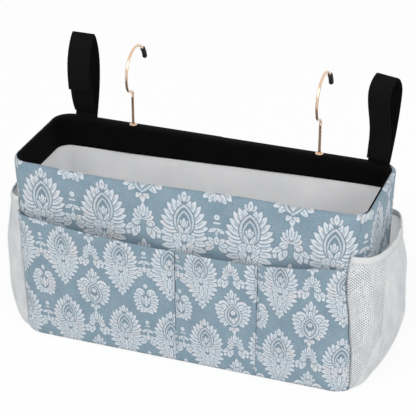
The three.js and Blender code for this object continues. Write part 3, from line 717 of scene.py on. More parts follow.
def damask_group():
    """A node group: the place on the cloth in, the level of the nearest motif out."""
    group = bpy.data.node_groups.new("damask", "ShaderNodeTree")
    group.interface.new_socket("Place", in_out="INPUT", socket_type="NodeSocketVector")
    group.interface.new_socket("Level", in_out="OUTPUT", socket_type="NodeSocketFloat")
    figure = Figure(group)
    parts = figure.separate(figure.add("NodeGroupInput").outputs[0])
    across = figure.math("ABSOLUTE", figure.math("WRAP", parts[0], PERIOD / 2, -PERIOD / 2))
    lowered = figure.math("SUBTRACT", parts[1], DROP)
    palmette_up = figure.math("WRAP", lowered, PALMETTE_LOW + RISE, PALMETTE_LOW)
    ring_up = figure.math("WRAP", parts[1], RING_LOW + RISE, RING_LOW)
    beside = figure.math("ABSOLUTE", figure.math("SUBTRACT", across, COLUMN))
    figure.place = figure.combine(beside, palmette_up)
    draw_palmette(figure)
    figure.place = figure.combine(across, ring_up)
    draw_medallion(figure)
    draw_fleur(figure)
    figure.place = figure.combine(figure.math("SUBTRACT", PERIOD / 2, across), ring_up)
    draw_shell(figure)
    figure.add("NodeGroupOutput", {"Level": figure.level})
    return group


# Materials. Pitches are in millimetres of cloth, and reliefs in metres.
GROUND = srgb(136, 157, 170)
GROUND_DEEP = srgb(120, 143, 157)
GROUND_PALE = srgb(160, 179, 189)
MOTIF = srgb(192, 202, 210)
MOTIF_BRIGHT = srgb(224, 228, 232)
MOTIF_WARM = srgb(209, 206, 208)
OUTLINE = srgb(122, 141, 154)
WEAVE_SHADE = srgb(118, 138, 152)
NET_PALE = srgb(249, 250, 250)
NET_DULL = srgb(228, 231, 233)
NET_SHADE = srgb(178, 184, 189)
PRINT_PITCH = 0.5
RIB_PITCH = 1.6
PICK_PITCH = 0.9
NET_PITCH = 2.1
NET_THREAD_SHARE = 0.36
FINE_RELIEF = 0.0002
WEAVE_RELIEF = 0.0003
GRAIN_RELIEF = 0.0004
PILE_RELIEF = 0.0006
CREASE_RELIEF = 0.002


def material(name, **settings):
    """A material with its graph and its principled shader; settings go on the shader's own sockets."""
    made = bpy.data.materials.new(name)
    made.use_nodes = True
    graph = Graph(made.node_tree)
    shader = made.node_tree.nodes["Principled BSDF"]
    for socket, value in settings.items():
        shader.inputs[socket.replace("_", " ")].default_value = value
    return made, graph, shader


def cloth_place(graph):
    return graph.add("ShaderNodeUVMap", uv_map="cloth").outputs[0]


def weave(graph, place, pitch):
    """A plain weave: its height, and how deep each place lies between the threads, which the cloths use to
    paint shade into their colour.
    """
    turns = graph.separate(graph.mapping(place, scale=(math.pi / pitch, math.pi / pitch, 1)))
    across = graph.math("SINE", turns[0])
    up = graph.math("SINE", turns[1])
    product = graph.math("MULTIPLY", across, up)
    high = graph.span(product, -1, 1)
    gaps = graph.math("MULTIPLY", graph.math("ABSOLUTE", across), graph.math("ABSOLUTE", up))
    return high, graph.math("SUBTRACT", 1, gaps)


def motif_level(graph, place, ring, turn, scale):
    """The damask's level at a place that is shaken a little, as printed edges are."""
    shakes = [graph.span(graph.noise(place, size, 2.0), 0, 1, -0.7, 0.7) for size in (0.9, 0.7)]
    shaken = graph.vector("ADD", place, graph.combine(*shakes))
    local = graph.mapping(shaken, (*ring, 0), math.radians(turn), (scale, scale, 1), "TEXTURE")
    return graph.add("ShaderNodeGroup", node_tree=damask), local


def printed_cloth(name, ring, turn=0.0, scale=1.0):
    """Woven cloth with the damask print; ring is the place of one ring motif, in millimetres."""
    made, graph, shader = material(name, Roughness=0.85, Specular_IOR_Level=0.25, Sheen_Weight=0.15)
    place = cloth_place(graph)
    motif, local = motif_level(graph, place, ring, turn, scale)
    graph.feed(motif.inputs[0], local)
    level = motif.outputs[0]

    cloudy = graph.noise(place, 0.035, 4.0, 0.6)
    ground = graph.mix(graph.span(cloudy, 0.32, 0.68), GROUND_DEEP, GROUND)
    specks = graph.noise(place, 0.55, 5.0, 0.7)
    ground = graph.mix(graph.span(specks, 0.52, 0.72), ground, GROUND_PALE)

    warm = graph.mix(graph.span(graph.noise(place, 0.06, 3.0), 0.5, 0.62), MOTIF, MOTIF_WARM)
    flake = graph.span(graph.noise(place, 1.1, 3.0, 0.7), 0.42, 0.62)
    rim = graph.math("MULTIPLY", graph.span(level, 0.62, 0.72), graph.span(level, 0.88, 0.82))
    bright = graph.math("MULTIPLY", rim, graph.math("ADD", 0.45, graph.math("MULTIPLY", flake, 0.55)))
    figure = graph.mix(bright, warm, MOTIF_BRIGHT)
    vein = graph.math("MULTIPLY", graph.span(level, 0.60, 0.54), graph.span(flake, 0, 1, 0.25, 0.8))
    figure = graph.mix(vein, figure, OUTLINE)
    scratch = graph.math("ABSOLUTE", graph.math("SUBTRACT", graph.noise(place, 0.42, 1.5), 0.5))
    figure = graph.mix(graph.span(scratch, 0.022, 0.0, 0, 0.6), figure, OUTLINE)
    figure = graph.mix(graph.span(level, 0.85, 0.94), figure, OUTLINE)
    colour = graph.mix(graph.math("LESS_THAN", level, 1), ground, figure)
    high, tone = weave(graph, place, PRINT_PITCH)
    colour = graph.mix(graph.span(tone, 0, 1, 0.0, 0.12), colour, WEAVE_SHADE, "MULTIPLY")
    graph.feed(shader.inputs["Base Color"], colour)
    normal = graph.bump(high, 0.25, FINE_RELIEF)
    crease = graph.noise(place, 0.05, 3.0, 0.5)
    graph.feed(shader.inputs["Normal"], graph.bump(crease, 0.35, CREASE_RELIEF, normal))
    return made


def plain_cloth(name, colour, deep, pitch, sheen=0.1, gloss=0.2):
    made, graph, shader = material(name, Roughness=0.9, Specular_IOR_Level=gloss, Sheen_Weight=sheen)
    place = cloth_place(graph)
    high, tone = weave(graph, place, pitch)
    cloudy = graph.noise(place, 0.04, 4.0, 0.6)
    fuzz = graph.noise(place, 1.5, 2.0)
    share = graph.math("ADD", graph.span(cloudy, 0.3, 0.7, 0, 0.5), graph.span(fuzz, 0.35, 0.65, 0, 0.3))
    # Painted shade: the colour also turns towards the deep colour in the gaps between the weave's threads,
    # where the weave lies low.
    share = graph.math("ADD", share, graph.span(tone, 0, 1, 0, 0.2), clamped=True)
    graph.feed(shader.inputs["Base Color"], graph.mix(share, colour, deep))
    normal = graph.bump(high, 0.3, WEAVE_RELIEF)
    graph.feed(shader.inputs["Normal"], graph.bump(cloudy, 0.3, CREASE_RELIEF, normal))
    return made


def ribbed_webbing(name, colour, deep):
    """Webbing with fine ribs along it and a pick of threads across them; painted shade darkens the grooves
    between them.
    """
    made, graph, shader = material(name, Roughness=0.85, Specular_IOR_Level=0.09, Sheen_Weight=0.01)
    place = cloth_place(graph)
    parts = graph.separate(place)
    ribs = graph.math("ABSOLUTE", graph.math("SINE", graph.math("MULTIPLY", parts[0], math.pi / RIB_PITCH)))
    picks = graph.math("ABSOLUTE", graph.math("SINE", graph.math("MULTIPLY", parts[1], math.pi / PICK_PITCH)))
    high = graph.math("MULTIPLY_ADD", picks, 0.35, ribs)
    fuzz = graph.noise(place, 1.2, 3.0)
    # Painted shade: the colour is darker where the ribs and picks are low, in the grooves between them.
    graph.feed(shader.inputs["Base Color"], graph.mix(graph.span(high, 0.1, 1.2), deep, colour))
    normal = graph.bump(high, 0.5, WEAVE_RELIEF)
    graph.feed(shader.inputs["Normal"], graph.bump(fuzz, 0.2, GRAIN_RELIEF, normal))
    return made


def pile_tape(name, colour, deep, scale):
    made, graph, shader = material(name, Roughness=0.95, Specular_IOR_Level=0.15, Sheen_Weight=0.08)
    fuzz = graph.noise(cloth_place(graph), scale, 4.0, 0.7)
    # One noise gives the pile a random tone and also its relief, so its low places are darker: partly random
    # tone, partly painted shade in the pile's hollows.
    graph.feed(shader.inputs["Base Color"], graph.mix(graph.span(fuzz, 0.35, 0.65), deep, colour))
    graph.feed(shader.inputs["Normal"], graph.bump(fuzz, 0.8, PILE_RELIEF))
    return made


def net_cloth(name):
    """Open net: two sets of diagonal threads with clear holes between them."""
    made, graph, shader = material(name, Roughness=0.7, Specular_IOR_Level=0.3, Sheen_Weight=0.2)
    place = cloth_place(graph)
    tangle = graph.add("ShaderNodeTexNoise", {"Vector": place, "Scale": 0.25}).outputs["Color"]
    wobble = graph.add("ShaderNodeVectorMath", {0: tangle, "Scale": 0.8}, operation="SCALE").outputs[0]
    scale = (1 / NET_PITCH, 1 / NET_PITCH, 1)
    turned = graph.mapping(graph.vector("ADD", place, wobble), turn=math.radians(45), scale=scale)
    far = [graph.math("PINGPONG", part, 0.5) for part in graph.separate(turned)[:2]]
    line = graph.math("MINIMUM", far[0], far[1])
    half = NET_THREAD_SHARE / 2
    graph.feed(shader.inputs["Alpha"], graph.math("LESS_THAN", line, half))
    tone = graph.noise(graph.mapping(place, scale=(1, 0.35, 1)), 0.10, 4.0)
    pale = graph.mix(graph.span(tone, 0.36, 0.62), NET_DULL, NET_PALE)
    graph.feed(shader.inputs["Base Color"], graph.mix(graph.span(line, 0, half, 0, 0.25), pale, NET_SHADE))
    graph.feed(shader.inputs["Normal"], graph.bump(graph.span(line, half, 0), 0.4, WEAVE_RELIEF))
    return made


def metal(name, colour, roughness):
    made, graph, shader = material(name, Metallic=1.0)
    worn = graph.noise(graph.add("ShaderNodeNewGeometry").outputs["Position"], 220, 3.0)
    deep = tuple(part * 0.82 for part in colour[:3]) + (1,)
    graph.feed(shader.inputs["Base Color"], graph.mix(graph.span(worn, 0.35, 0.7), colour, deep))
    graph.feed(shader.inputs["Roughness"], graph.span(worn, 0.3, 0.7, roughness * 0.8, roughness * 1.25))
    graph.feed(shader.inputs["Normal"], graph.bump(worn, 0.04, FINE_RELIEF))
    return made


def grained(name, colour, deep, scale, roughness, strength):
    """Board or rubber: a fine grain in colour and surface."""
    made, graph, shader = material(name, Roughness=roughness, Specular_IOR_Level=0.3)
    grain = graph.noise(graph.add("ShaderNodeNewGeometry").outputs["Position"], scale, 5.0, 0.65)
    graph.feed(shader.inputs["Base Color"], graph.mix(graph.span(grain, 0.35, 0.65), colour, deep))
    graph.feed(shader.inputs["Normal"], graph.bump(grain, strength, GRAIN_RELIEF))
    return made


damask = damask_group()
wall_print = printed_cloth("wall_print", (111.5, 214.3), scale=1.33)
black_cloth = plain_cloth("black_cloth", srgb(13, 13, 14), srgb(6, 6, 7), 0.6, sheen=0.005, gloss=0.05)
grey_cloth = plain_cloth("grey_cloth", srgb(246, 246, 247), srgb(232, 233, 234), 0.7)
binding_cloth = plain_cloth("binding_cloth", srgb(214, 215, 215), srgb(200, 202, 203), 0.8)
thread_blue = plain_cloth("thread_blue", srgb(158, 182, 198), srgb(132, 160, 180), 0.4)
thread_pale = plain_cloth("thread_pale", srgb(220, 222, 222), srgb(196, 199, 201), 0.4)
thread_dark = plain_cloth("thread_dark", srgb(58, 62, 68), srgb(34, 36, 40), 0.4)
net = net_cloth("net")
webbing = ribbed_webbing("webbing", srgb(13, 13, 14), srgb(5, 5, 6))
loop_pile = pile_tape("loop_pile", srgb(28, 28, 30), srgb(11, 11, 12), 2.2)
hook_pile = pile_tape("hook_pile", srgb(24, 24, 26), srgb(10, 10, 11), 0.9)
rose_gold = metal("rose_gold", (0.84, 0.62, 0.46, 1), 0.2)
steel = metal("steel", (0.62, 0.63, 0.65, 1), 0.35)
rubber = grained("rubber", srgb(30, 30, 31), srgb(18, 18, 19), 900, 0.6, 0.25)
board = grained("board", srgb(176, 158, 132), srgb(146, 128, 104), 260, 0.95, 0.4)
grey_board = grained("grey_board", srgb(150, 152, 155), srgb(128, 130, 134), 700, 0.9, 0.3)


# The wall's cloth
def level_rows(low, high, count):
    return [Row(z, z) for z in spread(low, high, count)]


def rim_reach(s):
    """How far in over the rim the outer cloth runs."""
    end = RIGHT_REACH if s > 0 else LEFT_REACH
    return lerp(FRONT_REACH, end, smooth(abs(s), FRONT_STRAIGHT, END_START))


def rolled_profile(count):
    """The rows of a wall whose cloth turns over the rim. They lie closer together at its hem."""
    top = BODY_HEIGHT - ROLL_START
    rows = level_rows(0, HEM_RADIUS, 5) + level_rows(HEM_RADIUS, top, count)[1:]
    return rows + [Row(top + along, BODY_HEIGHT + rise, 0.0, share) for along, rise, share in RIM_ROLL]


def cloth_point(layer=CLOTH_LAYER, sag=SAG, seed=0.0):
    """A point of a cloth wall with its soft unevenness."""

    def point(s, row):
        s = wrapped(s)
        out = row.out - row.turned * rim_reach(s)
        free = smooth(row.z, 0, SAG_FOOT) * (1 - smooth(row.z, BODY_HEIGHT - SAG_RIM, BODY_HEIGHT))
        return wall(s, row.z, out + sag * free * ripple(s, row.z, SAG_SIZE, seed), layer)

    return point


def seam_shift(z):
    """How far the right front seam wanders back round the corner."""
    lean = SEAM_LEAN * smooth(z, *SEAM_LEAN_RUN)
    bow = SEAM_BOW * bell(z, SEAM_BOW_HEIGHT, SEAM_BOW_SPREAD)
    return (lean + bow) * (1 - smooth(z, *SEAM_END_RUN))


def front_seam(sign, z):
    return sign * (FRONT_SEAM - (seam_shift(z) if sign > 0 else 0))


def edge_station(s, z):
    """Where a sheet's edge lies at a height: an edge at a front seam follows it."""
    return front_seam(math.copysign(1, s), z) if abs(s) == FRONT_SEAM else s


def cloth_sheet(name, stations, profile, point, look, slot, *replaced, thickness=CLOTH, closed=False):
    """Cloth on the wall, through the profile's rows and the stations that it has at each height."""
    rows = [[(point(s, row), (s, row.along)) for s in stations(row.z)] for row in profile]
    piece = new_piece(name, grid_mesh(name, rows, closed), look, "root", slot, *replaced)
    thicken(piece, thickness)


def between_edges(start, end, count):
    return lambda z: spread(edge_station(start, z), edge_station(end, z), count)


def ring_stations():
    """Stations all round, up to one that stands on the first again."""
    runs = [(0, FRONT_STRAIGHT, 32), (FRONT_STRAIGHT, END_START, 8), (END_START, BACK_ARC_START, 16)]
    runs += [(BACK_ARC_START, BACK_START, 8)]
    right = [s for run in runs for s in spread(*run)[:-1]] + spread(BACK_START, HALF_ROUND, 32)
    ring = [-s for s in reversed(right[1:-1])] + right
    return ring + [ring[0] + 2 * HALF_ROUND]


def build_shell():
    profile = rolled_profile(44)
    point = cloth_point()
    front = between_edges(-FRONT_SEAM, FRONT_SEAM, 120)
    cloth_sheet("front_cloth", front, profile, point, wall_print, "printed_cloth", "front_panel")
    for side in SIDES:
        stations = between_edges(*sorted((side.sign * FRONT_SEAM, side.sign * BACK_SEAM)), 44)
        name = f"{side.label}_side"
        cloth_sheet(f"{name}_cloth", stations, profile, point, wall_print, "printed_cloth", f"{name}_panel")
    half = spread(BACK_SEAM, HALF_ROUND, 60)
    back = half + [2 * HALF_ROUND - s for s in reversed(half[:-1])]
    cloth_sheet("back_cloth", lambda z: back, profile, point, black_cloth, "black_cloth", "back_panel")


def build_bottom():
    """The bottom cloth: rings of the outline drawn in to a middle line."""
    rows = []
    for share in BOTTOM_SHARES:
        row = []
        for s in ring_stations():
            edge = wall(s, 0, -CLOTH - FIT_GAP)
            middle = Vector((clamp(edge.x, -BACK_STRAIGHT, BACK_STRAIGHT), 0, 0))
            x, y, _ = edge.lerp(middle, share)
            row.append(((x, y, CLOTH), (x, y)))
        rows.append(row)
    mesh = grid_mesh("bottom_cloth", rows, closed=True)
    thicken(new_piece("bottom_cloth", mesh, black_cloth, "root", "black_cloth", "bottom_panel"), CLOTH)


def build_lining():
    ring = ring_stations()
    profile = [Row(*row) for row in LINING_FOOT]
    profile += level_rows(LINING_STRAIGHT, BODY_HEIGHT - LINING_TOP_GAP, 40)
    cloth_sheet(
        "lining_wall",
        lambda z: ring,
        profile,
        cloth_point(LINING_LAYER, LINING_SAG, seed=3.0),
        grey_cloth,
        "grey_lining",
        "lining",
        thickness=LINING,
        closed=True,
    )


def facing_low(s):
    """The facing is deeper round the left end than round the right."""
    share = smooth(wall(s, BODY_HEIGHT).x, -BODY_LENGTH / 2, BODY_LENGTH / 2)
    return BODY_HEIGHT - lerp(FACING_HEIGHT, FACING_LOW_HEIGHT, share)


def facing_top(s):
    return BODY_HEIGHT - lerp(FACING_FRONT_DROP, FACING_DROP, smooth(abs(s), FRONT_STRAIGHT, END_START))


def build_facing():
    """The black band inside the rim. Its top turns out over the wall to the edge of the outer cloth."""
    ring = ring_stations()
    band = cloth_point(FACING_LAYER, FACING_SAG, seed=5.0)
    rows = []
    for share in shares(10):
        heights = [lerp(facing_low(s), facing_top(s) - FACING_TURN, share) for s in ring]
        rows.append([(band(s, Row(z, z)), (s, z)) for s, z in zip(ring, heights)])
    for along, rise, share in FACING_ROLL:
        row = []
        for s in ring:
            near = wall(s, facing_top(s) + rise, 0, FACING_LAYER)
            far = wall(s, facing_top(s) + rise, -min(FACING_REACH, rim_reach(s)))
            row.append((near.lerp(far, share), (s, BODY_HEIGHT + along)))
        rows.append(row)
    mesh = grid_mesh("facing_band", rows, closed=True)
    piece = new_piece("facing_band", mesh, black_cloth, "root", "black_cloth", "rim_facing")
    thicken(piece, FACING * FACING_SHOWN_SHARE, even=False)


def build_front_board():
    """The front board follows the wavy rim."""
    row = spread(-FRONT_STRAIGHT, FRONT_STRAIGHT, 60)
    top = BODY_HEIGHT - FACING - FIT_GAP - BOARD_MARGIN
    profile = level_rows(HEM_RADIUS * math.sin(HEM_TURN), top, 20)
    point = cloth_point(BOARD_LAYER, sag=0.0)
    cloth_sheet(
        "front_board", lambda z: row, profile, point, board, "board", "front_stiffener", thickness=BOARD
    )


# Front pockets
def pocket_mouth(pocket, u):
    return lerp(*pocket.heights, u) + POCKET_MOUTH_RISE * crown(u, POCKET_CROWN_SHARE)


def pocket_out(pocket, u, v):
    """How far a pocket's outer face stands outside the wall."""
    size = pocket.end - pocket.start
    full = crown(u, POCKET_CROWN_SHARE)
    pleat = math.sin(v * pocket.puckers) * bell(min(u, 1 - u) * size, 0, PUCKER_WIDTH)
    folds = ripple(u * size, v * POCKET_HEIGHT, POCKET_FOLD_SIZE, pocket.seed)
    folds *= full * smooth(v, 0, POCKET_FOLD_START_SHARE)
    bulge = pocket.bulge * full * v**POCKET_RISE_SHARE
    return FIT_GAP + POCKET_CLOTH + bulge + PUCKER * pleat + POCKET_FOLD * folds


def pocket_pair(pocket, u, v, extra=0.0):
    """A pair of a pocket, where u runs across it and v from its foot to its mouth."""
    z = lerp(POCKET_FOOT, pocket_mouth(pocket, u), v)
    s = lerp(edge_station(pocket.start, z), edge_station(pocket.end, z), u)
    return wall(s, z, pocket_out(pocket, u, min(v, 1)) + extra + hem_inset(z)), (s, z)


def crowded(share):
    """A share moved towards the nearer end, so that columns crowd at a pocket's seams."""
    turn = math.pi * share
    return 0.5 - 0.5 * math.cos(turn) * (1 - 0.25 * math.sin(turn) ** 2)


def build_pocket(pocket):
    """A bulged pocket whose mouth is turned in over a sewn hem."""
    across = [crowded(share) for share in shares(64)]
    rows = []
    for v in shares(46):
        row = []
        for u in across:
            depth = (1 - v) * pocket_mouth(pocket, u)
            hem = HEM_STEP * (1 - smooth(depth, POCKET_HEM - HEM_EDGE, POCKET_HEM + HEM_EDGE))
            dent = STITCH_DENT * bell(depth, POCKET_HEM, STITCH_DENT_WIDTH)
            row.append(pocket_pair(pocket, u, v, hem - dent))
        rows.append(row)
    for along, inward, rise in POCKET_ROLL:
        pairs = [pocket_pair(pocket, u, 1, HEM_STEP - inward) for u in across]
        rows.append([(point + Vector((0, 0, rise)), (s, z + along)) for point, (s, z) in pairs])
    name = f"{pocket.label}_pocket"
    look = printed_cloth(f"{pocket.label}_print", pocket.ring, pocket.turn)
    piece = new_piece(f"{name}_cloth", grid_mesh(name, rows), look, "root", "printed_cloth", name)
    thicken(piece, POCKET_CLOTH)


# Net pockets
def net_height(share):
    return lerp(NET_FRONT_HEIGHT, NET_BACK_HEIGHT, share)


def net_out(side, share, height):
    """How far a net stands off the wall; each end is filled a little differently."""
    foot = clamp(height / side.net_foot)
    rise = (1 - (1 - foot) ** 2) ** side.net_foot_share
    above = max(0, height - side.net_foot) / (net_height(share) - side.net_foot)
    drawn = 1 - (1 - side.net_rim_share) * above * above
    return side.net_bulge * crown(share, NET_CROWN_SHARE) * rise * drawn


def net_folds(side, share, height):
    """Loose upright folds, deepest in the belly of the net, and a tuck at its foot."""
    belly = smooth(height, *NET_FOLD_RUN) * (1 - NET_CALM_SHARE * smooth(height, *NET_CALM_RUN))
    lean = 0.35 * height / NET_FRONT_HEIGHT
    wave = math.sin(2 * math.pi * (share * 5.3 + lean) + side.seed)
    wave += 0.6 * math.sin(2 * math.pi * (share * 9.1 - 1.3 * lean) + 2 * side.seed)
    soft = ripple(share * END_WIDTH, height, NET_RIPPLE_SIZE, side.seed)
    folds = crown(share, 0.7) * belly * (NET_WAVE * wave + NET_RIPPLE * soft)
    tuck = bell(share, TUCK_SHARE + TUCK_LEAN * height, TUCK_WIDTH_SHARE) * bell(height, 0, TUCK_HEIGHT)
    return folds - TUCK_DEPTH * tuck * smooth(height, 0, TUCK_START)


def net_point(side, share, height, extra=0.0):
    z = POCKET_FOOT + height
    s = lerp(front_seam(side.sign, z), side.sign * BACK_SEAM, share)
    out = FIT_GAP + NET_CLOTH + net_out(side, share, height) + net_folds(side, share, height) + extra
    return wall(s, z, out + hem_inset(z))


def build_net(side):
    rows = []
    for step in shares(72):
        row = []
        for share in shares(96)[:: side.sign]:
            height = step * (net_height(share) - BINDING_HEIGHT + BINDING_LAP)
            mark = (side.sign * share * END_WIDTH * NET_STRETCH, height)
            row.append((net_point(side, share, height), mark))
        rows.append(row)
    name = f"{side.label}_net"
    piece = new_piece(name, grid_mesh(name, rows), net, "root", "white_mesh", f"{side.label}_mesh_pocket")
    thicken(piece, NET_THREAD)


def build_binding(side):
    rows = []
    for i, (up, out) in enumerate(BINDING_SECTION + BINDING_SECTION[:1]):
        row = []
        for share in shares(96)[:: side.sign]:
            along = share * END_WIDTH
            pucker = BINDING_PUCKER * math.sin(along / BINDING_PUCKER_WAVE)
            point = net_point(side, share, net_height(share) - BINDING_HEIGHT + up, out + pucker)
            row.append((point, (side.sign * along, i * BINDING_STEP)))
        rows.append(row)
    name = f"{side.label}_binding"
    node = f"{side.label}_mesh_binding"
    tube_piece(name, rows, binding_cloth, "root", "white_binding", node, closed=False)


# Straps
def strap_turn(side):
    past = abs(side.strap_x) + WEBBING_WIDTH / 2 - (BODY_LENGTH / 2 + RIM_FLARE - BACK_CORNER)
    return -side.sign * STRAP_TURN_SHARE * math.asin(max(0, past) / BACK_CORNER)


def strap_frame(side, lean=0.0):
    """The place of a strap's foot, where its own Y runs back and its Z up."""
    turn = strap_turn(side)
    drawn = WEBBING / 2 * math.cos(turn) + WEBBING_WIDTH / 2 * abs(math.sin(turn))
    y = BODY_DEPTH / 2 - CLOTH - FIT_GAP - drawn
    root = Matrix.Translation((side.strap_x, y, BODY_HEIGHT + WEBBING / 2 + 2 * FIT_GAP))
    return root @ Matrix.Rotation(turn, 4, "Z") @ Matrix.Rotation(-lean, 4, "X")


def loop_height(side):
    return side.rise - WEBBING - 2 * FIT_GAP


def loop_bulge(side, share, power=1.0):
    if share < side.waist:
        return math.sin(QUARTER * max(0, share) / side.waist) ** power
    above = min(1, (share - side.waist) / (1 - side.waist))
    return (1 - above * above) ** LOOP_CROWN_SHARE


def loop_depth(side, bulge, share):
    """How far back a side of the loop stands; the front side keeps clear of the closure behind it."""
    if bulge > 0:
        return bulge * loop_bulge(side, share)
    front = bulge * loop_bulge(side, share, side.front_power)
    depth = lerp(STRAPS_DEPTH, CLOSURE_DEPTH, smooth(share, *CLOSURE_RISE_SHARES))
    behind = LOOP_BACK_BULGE * loop_bulge(side, share)
    behind += lerp(-depth, LOOP_CLEARANCE, smooth(share, *LOOP_OPEN_SHARES))
    return (front + behind - math.hypot(front - behind, CLOSURE_EASE)) / 2


def loop_point(side, bulge, share, inset=0.0):
    """A point of the loop's side in the strap's own Y and Z, drawn in by an inset."""
    step = 1e-3

    def at(t):
        return Vector((loop_depth(side, bulge, t), t * loop_height(side)))

    along = (at(share) - at(share - step)).normalized()
    drawn = math.copysign(inset, bulge)
    return at(share) + Vector((-along.y, along.x)) * drawn


def height_share(side, height):
    return (height - WEBBING / 2 - 2 * FIT_GAP) / loop_height(side)


def loop_shares(start, end, count):
    return [math.sin(turn) for turn in spread(math.asin(start), math.asin(end), count)]


def along_path(path):
    """Each point of a path in a plane, with its outward direction and the length so far."""
    length = 0.0
    for i, point in enumerate(path):
        before = path[max(0, i - 1)]
        along = (path[min(len(path) - 1, i + 1)] - before).normalized()
        length += (point - before).length
        yield point, Vector((-along.y, along.x)), length


RIBBON_SECTION_SHARES = [(-1, 0), (-0.97, 0.7), (-0.9, 1), (-0.5, 1), (0, 1), (0.5, 1), (0.9, 1), (0.97, 0.7)]
RIBBON_SECTION_SHARES += [(-x, -y) for x, y in RIBBON_SECTION_SHARES]


def ribbon(name, path, place, size, look, slot, *replaced, body=None, sway=0.0):
    """Flat tape with rounded edges along points of the strap's own Y and Z."""
    width, thickness = size
    rows = []
    for point, out, length in along_path(path):
        wide = width / 2 * (1 + sway * math.sin(length / EDGE_SWAY_WAVE))
        pairs = []
        for x, y in RIBBON_SECTION_SHARES:
            flat = point + out * (y * thickness / 2)
            pairs.append((place @ Vector((x * wide, flat.x, flat.y)), (x * width / 2, length)))
        rows.append(pairs + pairs[:1])
    return tube_piece(name, rows, look, body, slot, *replaced)


def webbing_piece(name, path, place, *replaced):
    size = (WEBBING_WIDTH, WEBBING)
    return ribbon(name, path, place, size, webbing, "black_webbing", *replaced, sway=EDGE_SWAY_SHARE)


def bend_between(piece, place, start, end):
    """Bakes the piece's place into its mesh. The two points of the strap's own Y and Z, between which the
    webbing would bend from one body to the other, are only worked out.
    """
    low, high = [place @ Vector((0, *point)) for point in (start, end)]
    tuple(low)
    tuple(high)
    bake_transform(piece)


def bend_at_foot(piece, side):
    low, high = FOOT_BEND
    bend_between(piece, strap_frame(side), (0, low), (0, high))


def rounded_top(back, front):
    """Joins the two sides of a loop at the top without a corner."""
    path = back[:-1] + front
    for _ in range(6):
        middle = [(a + c) * 0.25 + b * 0.5 for a, b, c in zip(path, path[1:], path[2:])]
        path = [path[0], *middle, path[-1]]
    return path


def build_strap(side):
    name = f"{side.label}_strap"

    # The tab inside the back wall and the strap's foot, from the rim up
    tab = [Vector((0, z)) for z in spread(-TAB_HEIGHT, -WEBBING, 16)]
    foot = [loop_point(side, LOOP_BACK_BULGE, share) for share in spread(0.0, LOOP_SPLIT_SHARE, 14)]
    lean = Matrix.Rotation(-side.lean, 3, "X")
    leaned = [(lean @ Vector((0, *point))).yz for point in foot]
    lower = webbing_piece(f"{name}_foot", tab + leaned, strap_frame(side), f"{name}_tab", f"{name}_webbing")
    bend_at_foot(lower, side)

    # The rest of the loop turns over at the top, between strap and flap
    back = [loop_point(side, LOOP_BACK_BULGE, share) for share in loop_shares(LOOP_SPLIT_SHARE, 1, 30)]
    down = reversed(loop_shares(height_share(side, side.flap_end), 1, 34))
    front = [loop_point(side, -side.bulge, share) for share in down]
    own = strap_frame(side, side.lean)
    upper = webbing_piece(f"{name}_loop", rounded_top(back, front), own, f"{name}_flap")
    fold = loop_height(side)
    bend_between(upper, own, (TOP_FOLD, fold), (-TOP_FOLD, fold))


def build_closure(side):
    """The short strap with its loop tape, and the hook tape on the flap."""
    label = side.label
    own = strap_frame(side, side.lean)
    top = height_share(side, side.closure + CLOSURE_HEIGHT + SHORT_STRAP_OVERLAP)
    path = []
    for share in loop_shares(SHORT_STRAP_START / loop_height(side), top, 30):
        front = loop_point(side, -side.bulge, share, SHORT_STRAP_INSET)
        back = loop_point(side, LOOP_BACK_BULGE, share, WEBBING + FIT_GAP)
        path.append(front if front.x < back.x else back)
    bend_at_foot(webbing_piece(f"{label}_short_webbing", path, own, f"{label}_short_strap"), side)

    start = height_share(side, side.closure + TAPE_MARGIN)
    end = height_share(side, side.closure + CLOSURE_HEIGHT)
    size = (WEBBING_WIDTH - 2 * TAPE_MARGIN, TAPE)
    tapes = [("loop", LOOP_TAPE_INSET, loop_pile, "strap"), ("hook", HOOK_TAPE_INSET, hook_pile, "flap")]
    for kind, inset, look, body in tapes:
        path = [loop_point(side, -side.bulge, share, inset) for share in loop_shares(start, end, 12)]
        name = f"{label}_{kind}"
        ribbon(f"{name}_pile", path, own, size, look, "black_tape", f"{name}_tape", body=f"{label}_{body}")


# Hooks
def crook_point(turn):
    height = BODY_HEIGHT + CROOK_CENTRE
    return Vector((CROOK_OFFSET + CROOK * math.cos(turn), height + CROOK * math.sin(turn)))


def smooth_path(points, steps):
    """A smooth curve through points, which at each one runs along the line between its neighbours."""
    ends = [points[0] * 2 - points[1], *points, points[-1] * 2 - points[-2]]
    path = []
    for i in range(1, len(ends) - 2):
        a, b, c, d = ends[i - 1 : i + 3]
        for t in shares(steps)[:-1]:
            near = (c - a) * t + (a * 2 - b * 5 + c * 4 - d) * t**2 + (b * 3 - a - c * 3 + d) * t**3
            path.append(b + near * 0.5)
    return path + [points[-1]]


def wire_path():
    neck = BODY_HEIGHT + NECK_HEIGHT
    points = [Vector((0, z)) for z in (HEAD_BOTTOM, BODY_HEIGHT, neck - NECK_BEND, neck)]
    points += [crook_point(turn) for turn in spread(CROOK_START, CROOK_END, 9)]
    return smooth_path(points, 10)


def round_tube(name, path, radii, place, look, body, slot, *replaced, sides=20):
    """A round tube along points of the Y Z plane, closed at both ends."""
    rows = []
    for (point, out, length), radius in zip(along_path(path), radii):
        pairs = []
        for turn in spread(0, 2 * math.pi, sides):
            flat = point + out * (radius * math.sin(turn))
            pairs.append((place + Vector((radius * math.cos(turn), flat.x, flat.y)), (turn * WIRE, length)))
        rows.append(pairs)
    tube_piece(name, rows, look, body, slot, *replaced)


